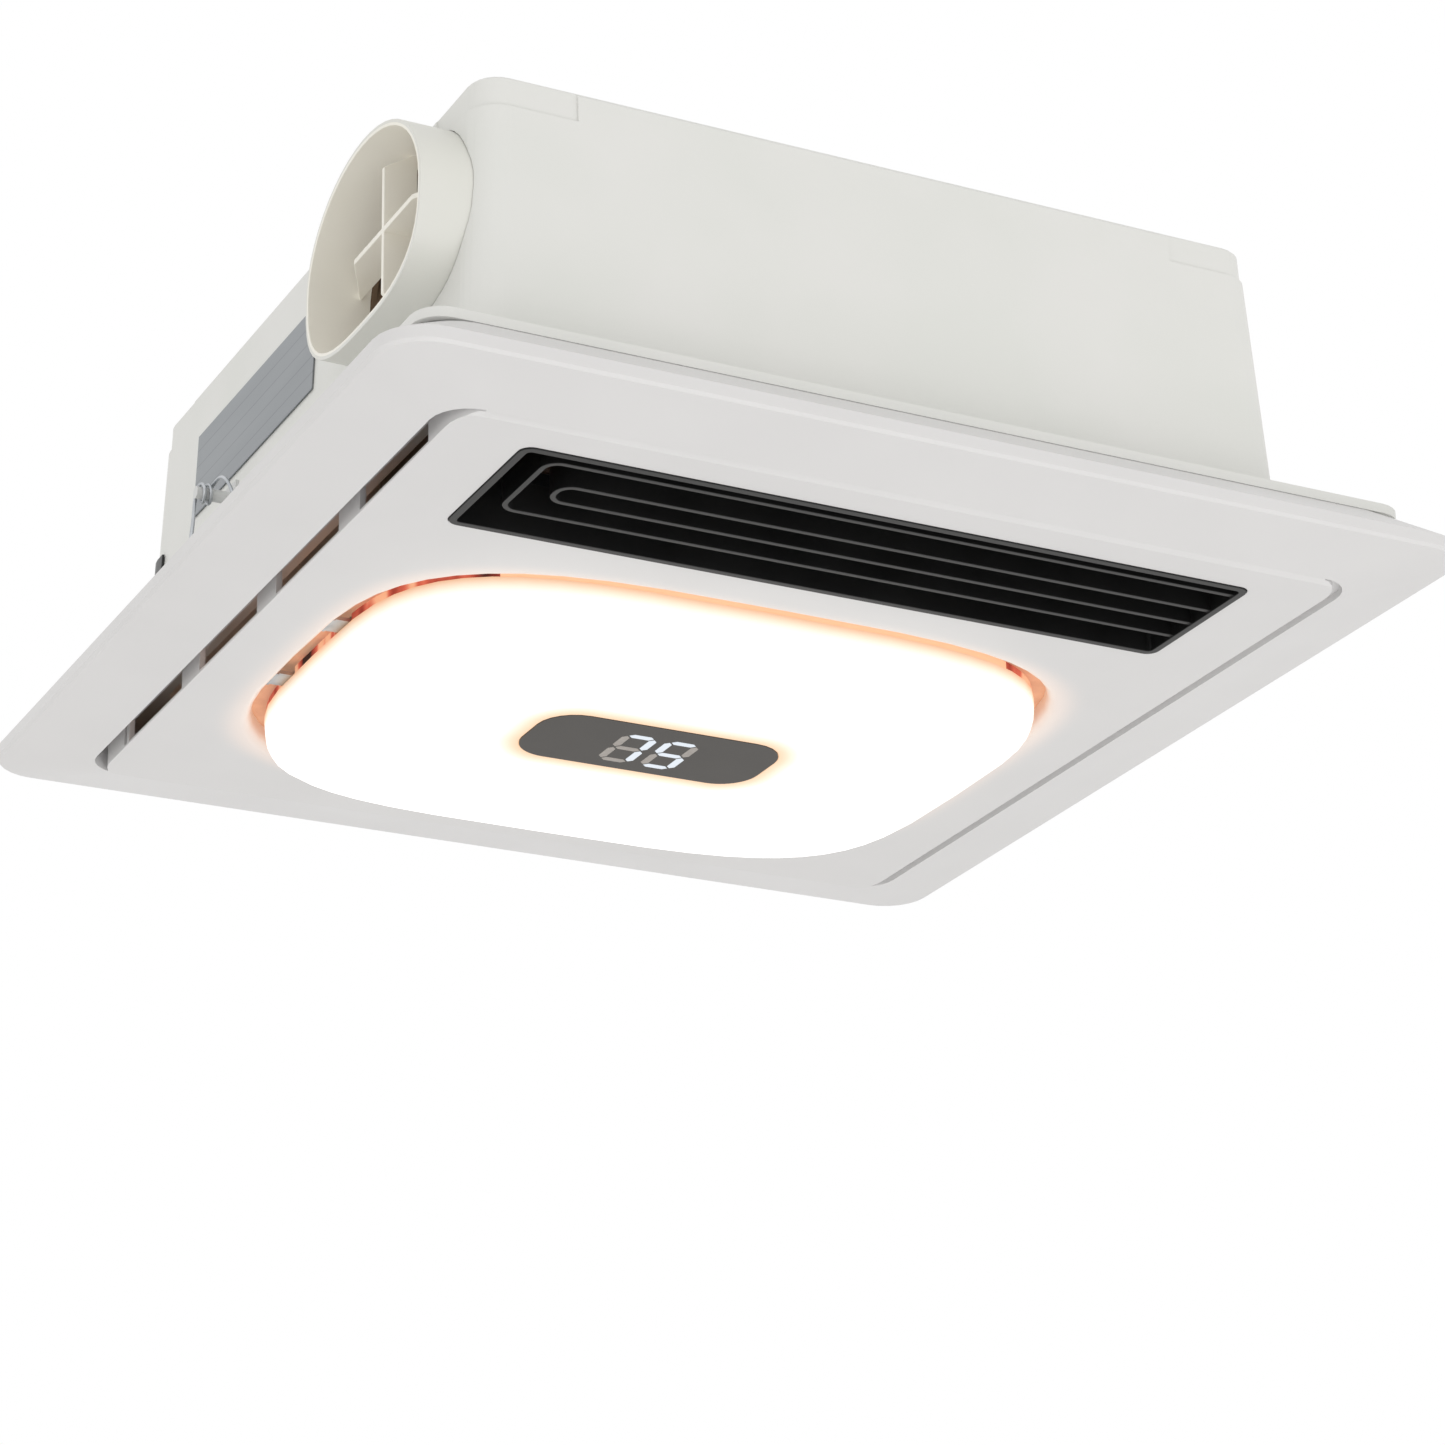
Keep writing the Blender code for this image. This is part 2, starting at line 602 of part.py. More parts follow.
def hole_outline(grow):
    half_x, half_y = LAMP_HALF_X + RING_GAP + grow, LAMP_HALF_Y + RING_GAP + grow
    return super_outline(half_x, half_y, HOLE_POWER, LAMP_STEPS, (0.0, LAMP_CENTRE_Y))


def hole_loops():
    """The hole round the lamp, whose lower edge is rolled outwards into the field."""
    loops = [at_height(hole_outline(HOLE_ROLL), FIELD_Z - OVERRUN)]
    for step in range(HOLE_ROLL_STEPS + 1):
        angle = FULL_TURN / 4 * step / HOLE_ROLL_STEPS
        grow = HOLE_ROLL * (1.0 - math.sin(angle))
        loops.append(at_height(hole_outline(grow), FIELD_Z + HOLE_ROLL_HEIGHT * (1.0 - math.cos(angle))))
    loops.append(at_height(hole_outline(0.0), COLLAR_TOP_Z + OVERRUN))
    return loops


def collar_notches():
    """The four gaps in the hole's collar that the lamp's bridges pass through."""
    inner = LAMP_HALF_X
    outer = LAMP_HALF_X + RING_GAP + PANEL_WALL + OVERRUN
    half = BRIDGE_WIDTH / 2 + GAP
    parts = []
    for side in (-1, 1):
        x_low, x_high = sorted((side * inner, side * outer))
        for end in (-1, 1):
            y = LAMP_CENTRE_Y + end * BRIDGE_SPREAD / 2
            parts.append(box((x_low, y - half, FIELD_BACK_Z), (x_high, y + half, COLLAR_TOP_Z + OVERRUN)))
    return merge_bmeshes(parts)


def grille_outline(grow, radius=GRILLE_CORNER):
    half_y = (GRILLE_FAR_Y - GRILLE_NEAR_Y) / 2
    centre = (0.0, (GRILLE_FAR_Y + GRILLE_NEAR_Y) / 2)
    return rounded_outline(GRILLE_HALF_X + grow, half_y + grow, radius, centre)


def make_front_panel():
    panel = add_object("front_panel", loft(panel_loops(0.0, 0.0)), WHITE_PANEL)
    combine(panel, loft(panel_loops(PANEL_WALL, PANEL_WALL)))
    for side in (-1, 1):
        combine(panel, plate(groove_outline(side, PANEL_WALL), FIELD_BACK_Z, GROOVE_TOP_Z), "UNION")
    combine(panel, plate(groove_outline(-1), FIELD_Z - OVERRUN, GROOVE_ROOF_Z))
    combine(panel, slot_cutters(-1))
    combine(panel, plate(groove_outline(1), FIELD_Z - OVERRUN, SHALLOW_ROOF_Z))
    combine(panel, plate(groove_outline(1), SHALLOW_ROOF_Z + PANEL_WALL, GROOVE_TOP_Z + OVERRUN))
    combine(panel, plate(hole_outline(PANEL_WALL), FIELD_BACK_Z, COLLAR_TOP_Z), "UNION")
    combine(panel, loft(hole_loops()))
    combine(panel, collar_notches())
    combine(panel, plate(grille_outline(GAP), FIELD_Z - OVERRUN, FIELD_BACK_Z + OVERRUN))
    return panel


def rib_loop(left_inset, depth_shares):
    """A U of thin rib, closed at the left and open at the right."""
    depth = GRILLE_FAR_Y - GRILLE_NEAR_Y
    near, far = (GRILLE_NEAR_Y + depth * share for share in depth_shares)
    left = -GRILLE_HALF_X + left_inset
    right = GRILLE_HALF_X - GRILLE_FRAME / 2
    outer, inner = [], []
    half = RIB_THICKNESS / 2
    for points, shift, radius in ((outer, half, RIB_CORNER + half), (inner, -half, RIB_CORNER - half)):
        points.append((right, near - shift))
        for step in range(CORNER_STEPS + 1):
            angle = math.radians(90.0) * step / CORNER_STEPS
            points.append(
                (left + RIB_CORNER - radius * math.sin(angle), near + RIB_CORNER - radius * math.cos(angle))
            )
        for step in range(CORNER_STEPS + 1):
            angle = math.radians(90.0) * step / CORNER_STEPS
            points.append(
                (left + RIB_CORNER - radius * math.cos(angle), far - RIB_CORNER + radius * math.sin(angle))
            )
        points.append((right, far + shift))
    low_z = FIELD_Z - GRILLE_PROUD + RIB_RECESS
    return plate(outer + list(reversed(inner)), low_z, low_z + RIB_DEPTH)


def make_outlet_grille():
    low_z = FIELD_Z - GRILLE_PROUD
    high_z = PANEL_TOP_Z
    grille = add_object("outlet_grille", plate(grille_outline(0.0), low_z, high_z), BLACK_PLASTIC)
    inner = grille_outline(-GRILLE_FRAME, GRILLE_CORNER - GRILLE_FRAME)
    combine(grille, plate(inner, low_z - OVERRUN, high_z + OVERRUN))
    combine(grille, rib_loop(OUTER_LOOP_INSET, OUTER_LOOP_SHARES), "UNION")
    combine(grille, rib_loop(INNER_LOOP_INSET, INNER_LOOP_SHARES), "UNION")
    pitch = 2 * GRILLE_HALF_X / (CROSS_BAR_COUNT + 1)
    bar_low = low_z + RIB_RECESS + RIB_DEPTH - CROSS_BAR_RISE / 2
    wall = GRILLE_FRAME / 2
    bars = []
    for number in range(CROSS_BAR_COUNT):
        x = -GRILLE_HALF_X + pitch * (number + 1)
        bars.append(box(
            (x - CROSS_BAR_WIDTH / 2, GRILLE_NEAR_Y + wall, bar_low),
            (x + CROSS_BAR_WIDTH / 2, GRILLE_FAR_Y - wall, bar_low + CROSS_BAR_RISE),
        ))
    combine(grille, merge_bmeshes(bars), "UNION")
    return grille


def lamp_shell_loops(shrink, lift):
    span = LAMP_TOP_Z - LAMP_LOW_Z
    loops = [at_height(lamp_outline(-shrink), LAMP_TOP_Z + (OVERRUN if shrink else 0.0))]
    for size_share, depth_share in LAMP_PROFILE_SHARES:
        outline = super_outline(
            LAMP_HALF_X * size_share - shrink,
            LAMP_HALF_Y * size_share - shrink,
            LAMP_POWER,
            LAMP_STEPS,
            (0.0, LAMP_CENTRE_Y),
        )
        loops.append(at_height(outline, LAMP_TOP_Z - span * depth_share + lift))
    return loops


def window_outline(grow):
    return rounded_outline(
        WINDOW_HALF_X + grow, WINDOW_HALF_Y + grow, WINDOW_CORNER + grow, (0.0, LAMP_CENTRE_Y)
    )


def make_lamp():
    lamp = add_object("lamp_diffuser", loft(lamp_shell_loops(0.0, 0.0)), OPAL)
    combine(lamp, loft(lamp_shell_loops(LAMP_WALL, LAMP_WALL)))
    combine(lamp, plate(window_outline(GAP), LAMP_LOW_Z - OVERRUN, LAMP_LOW_Z + LAMP_WALL + OVERRUN))
    add_object("display_window", plate(window_outline(0.0), WINDOW_LOW_Z, WINDOW_HIGH_Z), SMOKED)
    board = window_outline(-DISPLAY_BOARD_INSET)
    add_object("display_board", plate(board, DISPLAY_LOW_Z, DISPLAY_HIGH_Z), DARK_PLASTIC)
    shroud_low = DISPLAY_HIGH_Z + GAP
    shroud_high = LED_LOW_Z - GAP
    shroud = add_object("display_shroud", plate(board, shroud_low, shroud_high), DARK_PLASTIC)
    inside = window_outline(-DISPLAY_BOARD_INSET - SHROUD_WALL)
    combine(shroud, plate(inside, shroud_low - OVERRUN, shroud_high + OVERRUN))
    tray = lamp_outline(-LAMP_WALL - GAP)
    add_object("lamp_tray", plate(tray, TRAY_LOW_Z, TRAY_TOP_Z), ALUMINIUM)
    leds = lamp_outline(-LAMP_WALL - LED_BOARD_INSET)
    add_object("led_board", plate(leds, LED_LOW_Z, LED_TOP_Z), BOARD_WHITE)


def make_lamp_bridge(name, y):
    """A steel strip whose two feet rest on the back of the field, above the lamp's rim between them."""
    reach = LAMP_HALF_X + RING_GAP + BRIDGE_FOOT
    knee = LAMP_HALF_X + RING_GAP
    foot = FIELD_BACK_Z + GAP
    top = foot + BRIDGE_THICKNESS
    profile = [
        (-reach, foot), (-knee + BRIDGE_THICKNESS, foot), (-knee + BRIDGE_THICKNESS, BRIDGE_LOW_Z),
        (knee - BRIDGE_THICKNESS, BRIDGE_LOW_Z), (knee - BRIDGE_THICKNESS, foot), (reach, foot),
        (reach, top), (knee, top), (knee, BRIDGE_HIGH_Z),
        (-knee, BRIDGE_HIGH_Z), (-knee, top), (-reach, top),
    ]
    loops = [[(x, y + shift, z) for x, z in profile] for shift in (-BRIDGE_WIDTH / 2, BRIDGE_WIDTH / 2)]
    add_object(name, loft(loops), ZINC)


def make_lamp_bridges():
    make_lamp_bridge("lamp_bridge_near", LAMP_CENTRE_Y - BRIDGE_SPREAD / 2)
    make_lamp_bridge("lamp_bridge_far", LAMP_CENTRE_Y + BRIDGE_SPREAD / 2)
    length, width, height = DRIVER_SIZE
    low = (-width / 2, LAMP_CENTRE_Y - length / 2, BRIDGE_HIGH_Z + GAP)
    high = (width / 2, LAMP_CENTRE_Y + length / 2, BRIDGE_HIGH_Z + GAP + height)
    driver = add_object("led_driver", box(low, high), WHITE_HOUSING)
    bevel_edges(driver, MOTOR_BEVEL / 2)


# Springs that pull the panel up

def smooth_run(points, count):
    """A smooth curve through the given points of the (y, z) plane."""
    padded = [points[0]] + list(points) + [points[-1]]
    run = []
    for i in range(1, len(padded) - 2):
        p0, p1, p2, p3 = (Vector(p) for p in padded[i - 1:i + 3])
        for step in range(count):
            t = step / count
            value = 0.5 * (
                2.0 * p1 + (p2 - p0) * t + (2.0 * p0 - 5.0 * p1 + 4.0 * p2 - p3) * t * t
                + (3.0 * p1 - p0 - 3.0 * p2 + p3) * t * t * t
            )
            run.append((value.x, value.y))
    run.append(tuple(points[-1]))
    return run


def leg_run(shares, start_y, start_z, foot_y):
    """A leg from the coil to its foot, whose last stretch runs level through the hook's ear."""
    run, fall = foot_y - start_y, FOOT_Z - start_z
    points = [(start_y + run * out, start_z + fall * down) for out, down in shares]
    outward = math.copysign(FOOT_LENGTH, foot_y - start_y)
    return smooth_run(points + [(foot_y, FOOT_Z), (foot_y + outward, FOOT_Z)], LEG_POINTS)


def spring_path(side):
    """The near foot and leg, the coil from its crown, then the far leg and foot, in one unbroken wire."""
    width = COIL_TURNS * COIL_PITCH
    near = leg_run(NEAR_LEG_SHARES, SPRING_Y, COIL_Z + COIL_RADIUS, SPRING_Y - FOOT_SPREAD)
    path = [(side * (SPRING_X - width / 2), y, z) for y, z in reversed(near[1:])]
    for step in range(round(COIL_TURNS * COIL_POINTS) + 1):
        angle = FULL_TURN / 4 - FULL_TURN * step / COIL_POINTS
        x = SPRING_X - width / 2 + COIL_PITCH * step / COIL_POINTS
        y, z = SPRING_Y + COIL_RADIUS * math.cos(angle), COIL_Z + COIL_RADIUS * math.sin(angle)
        path.append((side * x, y, z))
    far = leg_run(FAR_LEG_SHARES, SPRING_Y + COIL_RADIUS, COIL_Z, SPRING_Y + FOOT_SPREAD)
    path += [(side * (SPRING_X + width / 2), y, z) for y, z in far[1:]]
    return path


def make_spring(name, side):
    path = spring_path(side)
    curve = bpy.data.curves.new(name, "CURVE")
    curve.dimensions = "3D"
    spline = curve.splines.new("POLY")
    spline.points.add(len(path) - 1)
    for point, place in zip(spline.points, path):
        point.co = (*place, 1.0)
    curve.bevel_depth = WIRE_RADIUS
    curve.bevel_resolution = 1
    curve.use_fill_caps = True
    curve.materials.append(material(*ZINC))
    obj = bpy.data.objects.new(name, curve)
    bpy.context.scene.collection.objects.link(obj)
    print(f"{name}: least gap between curls {(COIL_PITCH - 2 * WIRE_RADIUS) * 1000:.2f} mm")
    return obj


def make_spring_hook(name, side):
    """A strip on the groove's back with two pierced ears for the spring's feet."""
    ends = FOOT_SPREAD + FOOT_LENGTH / 2
    centre_x = side * SPRING_X
    half = HOOK_WIDTH / 2
    low_z = HOOK_LOW_Z
    high_z = low_z + HOOK_BASE_THICKNESS
    low = (centre_x - half, SPRING_Y - ends - HOOK_END, low_z)
    high = (centre_x + half, SPRING_Y + ends + HOOK_END, high_z)
    hook = add_object(name, box(low, high), ZINC)
    for end in (-1, 1):
        y = SPRING_Y + end * ends
        ear_low = (centre_x - half, y - HOOK_EAR / 2, low_z + HOOK_BASE_THICKNESS / 2)
        ear_high = (centre_x + half, y + HOOK_EAR / 2, low_z + HOOK_EAR_HEIGHT)
        combine(hook, box(ear_low, ear_high), "UNION")
    width = COIL_TURNS * COIL_PITCH
    for end in (-1, 1):
        x = side * (SPRING_X + end * width / 2)
        y = SPRING_Y + end * ends
        reach = HOOK_EAR / 2 + OVERRUN
        ends_of_hole = [(x, y + shift, FOOT_Z) for shift in (-reach, reach)]
        combine(hook, rod(WIRE_RADIUS + WIRE_CLEARANCE, *ends_of_hole, WIRE_HOLE_STEPS))


def make_spring_bracket(name, side):
    """A foot across the flange's slot, an upright beside the coil, and a peg through the coil."""
    inner = SPRING_X - BRACKET_REACH
    outer = SPRING_X + BRACKET_REACH
    near, far = SPRING_Y - BRACKET_HALF_WIDTH, SPRING_Y + BRACKET_HALF_WIDTH
    foot_x = sorted((side * inner, side * outer))
    bracket = add_object(
        name, box((foot_x[0], near, GAP), (foot_x[1], far, GAP + BRACKET_THICKNESS)), ZINC
    )
    post_x = sorted((side * inner, side * (inner + BRACKET_THICKNESS)))
    post_top = COIL_Z + BRACKET_HALF_WIDTH
    combine(bracket, box((post_x[0], near, GAP), (post_x[1], far, post_top)), "UNION")
    peg_start = (side * (inner + BRACKET_THICKNESS / 2), SPRING_Y, COIL_Z)
    peg_reach = COIL_TURNS * COIL_PITCH / 2 + WIRE_RADIUS + WIRE_CLEARANCE
    peg_end = (side * (SPRING_X + peg_reach), SPRING_Y, COIL_Z)
    combine(bracket, rod(PEG_RADIUS, peg_start, peg_end, SMALL_ROUND_STEPS), "UNION")


def make_springs():
    for name, side in (("left", -1), ("right", 1)):
        make_spring_bracket(f"spring_bracket_{name}", side)
        make_spring_hook(f"spring_hook_{name}", side)
        make_spring(f"panel_spring_{name}", side)


# Flange and shell

def make_flange():
    half = FLANGE_SIDE / 2
    sheet = plate(rounded_outline(half, half, FLANGE_CORNER), -FLANGE_THICKNESS, 0.0)
    flange = add_object("mounting_flange", sheet, WHITE_HOUSING)
    opening = rounded_outline(FLANGE_OPENING_HALF, FLANGE_OPENING_HALF, SHELL_CORNER)
    low_z = -FLANGE_THICKNESS - OVERRUN
    combine(flange, plate(opening, low_z, OVERRUN))
    slot_reach = FOOT_SPREAD + FOOT_LENGTH + SPRING_SLOT_MARGIN
    for side in (-1, 1):
        slot = rounded_outline(
            SPRING_SLOT_WIDTH / 2, slot_reach, SPRING_SLOT_MARGIN, (side * SPRING_X, SPRING_Y), 3
        )
        combine(flange, plate(slot, low_z, OVERRUN))
    middle = (half + SHELL_BASE_HALF) / 2
    holes = []
    for x in (-FLANGE_SCREW_PITCH / 2, FLANGE_SCREW_PITCH / 2):
        for y in (-middle, middle):
            holes.append(rod(FLANGE_SCREW_HOLE, (x, y, low_z), (x, y, OVERRUN), SMALL_ROUND_STEPS))
    combine(flange, merge_bmeshes(holes))


def spigot_outline(grow):
    """The duct oval as (y, z): a half ellipse above and a flatter, squarer half below."""
    points = []
    for step in range(SPIGOT_STEPS):
        angle = FULL_TURN * step / SPIGOT_STEPS
        c, s = math.cos(angle), math.sin(angle)
        power = SPIGOT_UP_POWER if s >= 0 else SPIGOT_DOWN_POWER
        reach = (SPIGOT_BORE_UP if s >= 0 else SPIGOT_BORE_DOWN) + grow
        y = (SPIGOT_BORE_HALF_Y + grow) * math.copysign(abs(c) ** (2.0 / power), c)
        z = reach * math.copysign(abs(s) ** (2.0 / power), s)
        points.append((SPIGOT_Y + y, SPIGOT_Z + z))
    return points


def oval_along_x(grow, low_x, high_x):
    outline = spigot_outline(grow)
    return loft([[(x, y, z) for y, z in outline] for x in (low_x, high_x)])


def make_shell():
    outer_low = rounded_outline(SHELL_BASE_HALF, SHELL_BASE_HALF, SHELL_CORNER)
    outer_high = rounded_outline(SHELL_TOP_HALF, SHELL_TOP_HALF, SHELL_CORNER)
    edge = SHELL_EDGE_BEVEL
    outer_edge = rounded_outline(SHELL_TOP_HALF - edge, SHELL_TOP_HALF - edge, SHELL_CORNER - edge)
    shell = add_object(
        "housing_shell",
        loft([
            at_height(outer_low, SHELL_LOW_Z),
            at_height(outer_high, SHELL_TOP_Z - edge),
            at_height(outer_edge, SHELL_TOP_Z),
        ]),
        WHITE_HOUSING,
    )
    base, top, radius = SHELL_BASE_HALF - SHELL_WALL, SHELL_TOP_HALF - SHELL_WALL, SHELL_CORNER - SHELL_WALL
    flare = OVERRUN * DRAFT
    hollow = [
        at_height(rounded_outline(base + flare, base + flare, radius), SHELL_LOW_Z - OVERRUN),
        at_height(rounded_outline(top, top, radius), SHELL_INSIDE_Z),
    ]
    combine(shell, loft(hollow))
    combine(shell, corner_pads())
    combine(shell, oval_along_x(SPIGOT_WALL + GAP, -SHELL_BASE_HALF - OVERRUN, SPIGOT_ROOT_X + GAP))
    far = wall_x(GLAND_Z)
    combine(shell, rod(GLAND_BODY + GAP, (GLAND_X, far - SHELL_WALL - OVERRUN, GLAND_Z),
                       (GLAND_X, far + OVERRUN, GLAND_Z), SMALL_ROUND_STEPS))


def corner_pads():
    """Shallow steps that the top corners of the shell are set back by."""
    low_z = SHELL_TOP_Z - PAD_HEIGHT
    parts = []
    reach = SHELL_TOP_HALF + OVERRUN
    face_low = wall_x(low_z) - PAD_DEPTH
    face_high = SHELL_TOP_HALF - PAD_DEPTH
    start = SHELL_TOP_HALF - PAD_LENGTH
    for side_x in (-1, 1):
        for side_y in (-1, 1):
            radius = SHELL_CORNER - PAD_DEPTH
            loops = []
            for z, face in ((low_z, face_low), (SHELL_TOP_Z + OVERRUN, face_high)):
                inner = [(start, face)]
                for step in range(CORNER_STEPS + 1):
                    angle = math.radians(90.0) * (1.0 - step / CORNER_STEPS)
                    pivot = face - radius
                    inner.append((pivot + radius * math.cos(angle), pivot + radius * math.sin(angle)))
                inner.append((face, start))
                outer = [(reach, start), (reach, reach), (start, reach)]
                loops.append([(side_x * x, side_y * y, z) for x, y in inner + outer])
            parts.append(loft(loops))
    return merge_bmeshes(parts)


def corner_strip(z):
    """The pad's outline at a height, which follows the shell's drafted corner."""
    face = wall_x(z) + GAP
    start = face - SHELL_CORNER - CORNER_PAD_LENGTH
    pivot = face - SHELL_CORNER
    inner, outer = [(face, start)], [(face + CORNER_PAD_THICKNESS, start)]
    for step in range(CORNER_STEPS + 1):
        angle = FULL_TURN / 4 * step / CORNER_STEPS
        for points, radius in ((inner, SHELL_CORNER), (outer, SHELL_CORNER + CORNER_PAD_THICKNESS)):
            points.append((pivot + radius * math.cos(angle), pivot + radius * math.sin(angle)))
    inner.append((start, face))
    outer.append((start, face + CORNER_PAD_THICKNESS))
    return [(-x, y, z) for x, y in outer + list(reversed(inner))]


def make_corner_pad():
    strips = [corner_strip(GAP), corner_strip(CORNER_PAD_HEIGHT)]
    add_object("corner_pad", loft(strips), BLACK_PLASTIC)


def make_spigot():
    """The oval tube, with a cross whose ribs slope from its front down to the tube's root."""
    tube = oval_along_x(SPIGOT_WALL, SPIGOT_RIM_X, SPIGOT_ROOT_X)
    spigot = add_object("exhaust_spigot", tube, WHITE_HOUSING)
    combine(spigot, oval_along_x(0.0, SPIGOT_RIM_X - OVERRUN, SPIGOT_ROOT_X + OVERRUN))
    front = SPIGOT_RIM_X + CROSS_FRONT_INSET
    back = front + CROSS_DEPTH
    half = CROSS_THICKNESS / 2
    seat = SPIGOT_WALL / 2
    upright = [
        (front, CROSS_Z - CROSS_FRONT_HALF_Z), (front, CROSS_Z + CROSS_FRONT_HALF_Z),
        (back, SPIGOT_Z + SPIGOT_BORE_UP + seat), (back, SPIGOT_Z - SPIGOT_BORE_DOWN - seat),
    ]
    sides = [[(x, SPIGOT_Y + shift, z) for x, z in upright] for shift in (-half, half)]
    combine(spigot, loft(sides), "UNION")
    reach = SPIGOT_BORE_HALF_Y + seat
    level = [
        (front, SPIGOT_Y - CROSS_FRONT_HALF_Y), (front, SPIGOT_Y + CROSS_FRONT_HALF_Y),
        (back, SPIGOT_Y + reach), (back, SPIGOT_Y - reach),
    ]
    combine(spigot, plate(level, CROSS_Z - half, CROSS_Z + half), "UNION")


def make_label():
    tilt = math.atan(DRAFT)
    height = (LABEL_HIGH_Z - LABEL_LOW_Z) / 2
    width = (LABEL_FAR_Y - LABEL_NEAR_Y) / 2
    middle_z = (LABEL_HIGH_Z + LABEL_LOW_Z) / 2
    bm = box((-LABEL_THICKNESS / 2, -width, -height), (LABEL_THICKNESS / 2, width, height))
    stand_off = LABEL_THICKNESS / 2 + GAP
    place = (-wall_x(middle_z) - stand_off, (LABEL_NEAR_Y + LABEL_FAR_Y) / 2, middle_z)
    label = add_object("rating_label", bm, SILVER_FOIL, place)
    label.rotation_euler = (0.0, tilt, 0.0)


def make_gland():
    outer = wall_x(GLAND_Z - GLAND_HEAD) + GAP
    inner = wall_x(GLAND_Z + GLAND_HEAD) - SHELL_WALL - GAP
    head_end = outer + GLAND_HEAD_LENGTH
    body_end = inner - GLAND_NUT_LENGTH - GAP
    head = rod(GLAND_HEAD, (GLAND_X, outer, GLAND_Z), (GLAND_X, head_end, GLAND_Z), GLAND_SIDES)
    gland = add_object("cable_gland", head, BLACK_PLASTIC)
    body = [(GLAND_X, y, GLAND_Z) for y in (body_end, outer + GAP)]
    combine(gland, rod(GLAND_BODY, *body, SMALL_ROUND_STEPS), "UNION")
    bore = [(GLAND_X, y, GLAND_Z) for y in (body_end - OVERRUN, head_end + OVERRUN)]
    combine(gland, rod(GLAND_BORE, *bore, SMALL_ROUND_STEPS))
    nut = add_object(
        "gland_nut",
        rod(GLAND_NUT, (GLAND_X, inner - GLAND_NUT_LENGTH, GLAND_Z), (GLAND_X, inner, GLAND_Z), GLAND_SIDES),
        BLACK_PLASTIC,
    )
    thread = [(GLAND_X, y, GLAND_Z) for y in (body_end - OVERRUN, outer)]
    combine(nut, rod(GLAND_BODY + GAP, *thread, SMALL_ROUND_STEPS))


# Blower

def scroll_outline(inset):
    """Spiral wall from the tongue round to the throat, then straight down to the outlet."""
    points = []
    for step in range(SCROLL_STEPS + 1):
        share = step / SCROLL_STEPS
        angle = SCROLL_START_ANGLE + (SCROLL_END_ANGLE - SCROLL_START_ANGLE) * share
        radius = SCROLL_START_RADIUS + (SCROLL_END_RADIUS - SCROLL_START_RADIUS) * share - inset
        points.append((FAN_X + radius * math.cos(angle), FAN_Y + radius * math.sin(angle)))
    end_y = SCROLL_OUTLET_Y - (OVERRUN if inset else 0.0)
    points.append((FAN_X - SCROLL_END_RADIUS + inset, end_y))
    points.append((THROAT_INNER_X - inset, end_y))
    return points


def make_scroll():
    case = plate(scroll_outline(0.0), SCROLL_LOW_Z, SCROLL_HIGH_Z)
    scroll = add_object("blower_scroll", case, DARK_PLASTIC)
    inside = plate(scroll_outline(SCROLL_WALL), SCROLL_LOW_Z + SCROLL_WALL, SCROLL_HIGH_Z - SCROLL_WALL)
    combine(scroll, inside)
    for radius, z, steps in (
        (INLET_RADIUS, SCROLL_LOW_Z, FINE_ROUND_STEPS), (MOTOR_HOLE, SCROLL_HIGH_Z, SMALL_ROUND_STEPS)
    ):
        combine(scroll, rod(radius, (FAN_X, FAN_Y, z - OVERRUN), (FAN_X, FAN_Y, z + OVERRUN), steps))


def turned(profile, centre, steps=ROUND_STEPS):
    """A closed (radius, z) profile spun round an upright axis."""
    bm = bmesh.new()
    verts = [bm.verts.new((radius, 0.0, z)) for radius, z in profile]
    edges = [bm.edges.new((verts[i], verts[(i + 1) % len(verts)])) for i in range(len(verts))]
    bmesh.ops.spin(
        bm, geom=verts + edges, cent=(0.0, 0.0, 0.0), axis=(0.0, 0.0, 1.0), angle=FULL_TURN,
        steps=steps, use_merge=True,
    )
    bmesh.ops.remove_doubles(bm, verts=bm.verts, dist=GAP / 100)
    bmesh.ops.translate(bm, vec=(*centre, 0.0), verts=bm.verts)
    return bm


def make_inlet_ring():
    top = SCROLL_LOW_Z - GAP
    low = top - INLET_RING_HEIGHT
    inner, outer = INLET_RADIUS, INLET_RADIUS + INLET_RING_WIDTH
    lip = INLET_RING_HEIGHT / 3
    profile = [(inner, top), (outer, top), (outer, top - lip), (inner + lip + lip, top - lip),
               (inner + lip, low), (inner, low + lip / 2)]
    add_object("inlet_ring", turned(profile, (FAN_X, FAN_Y)), WHITE_HOUSING)


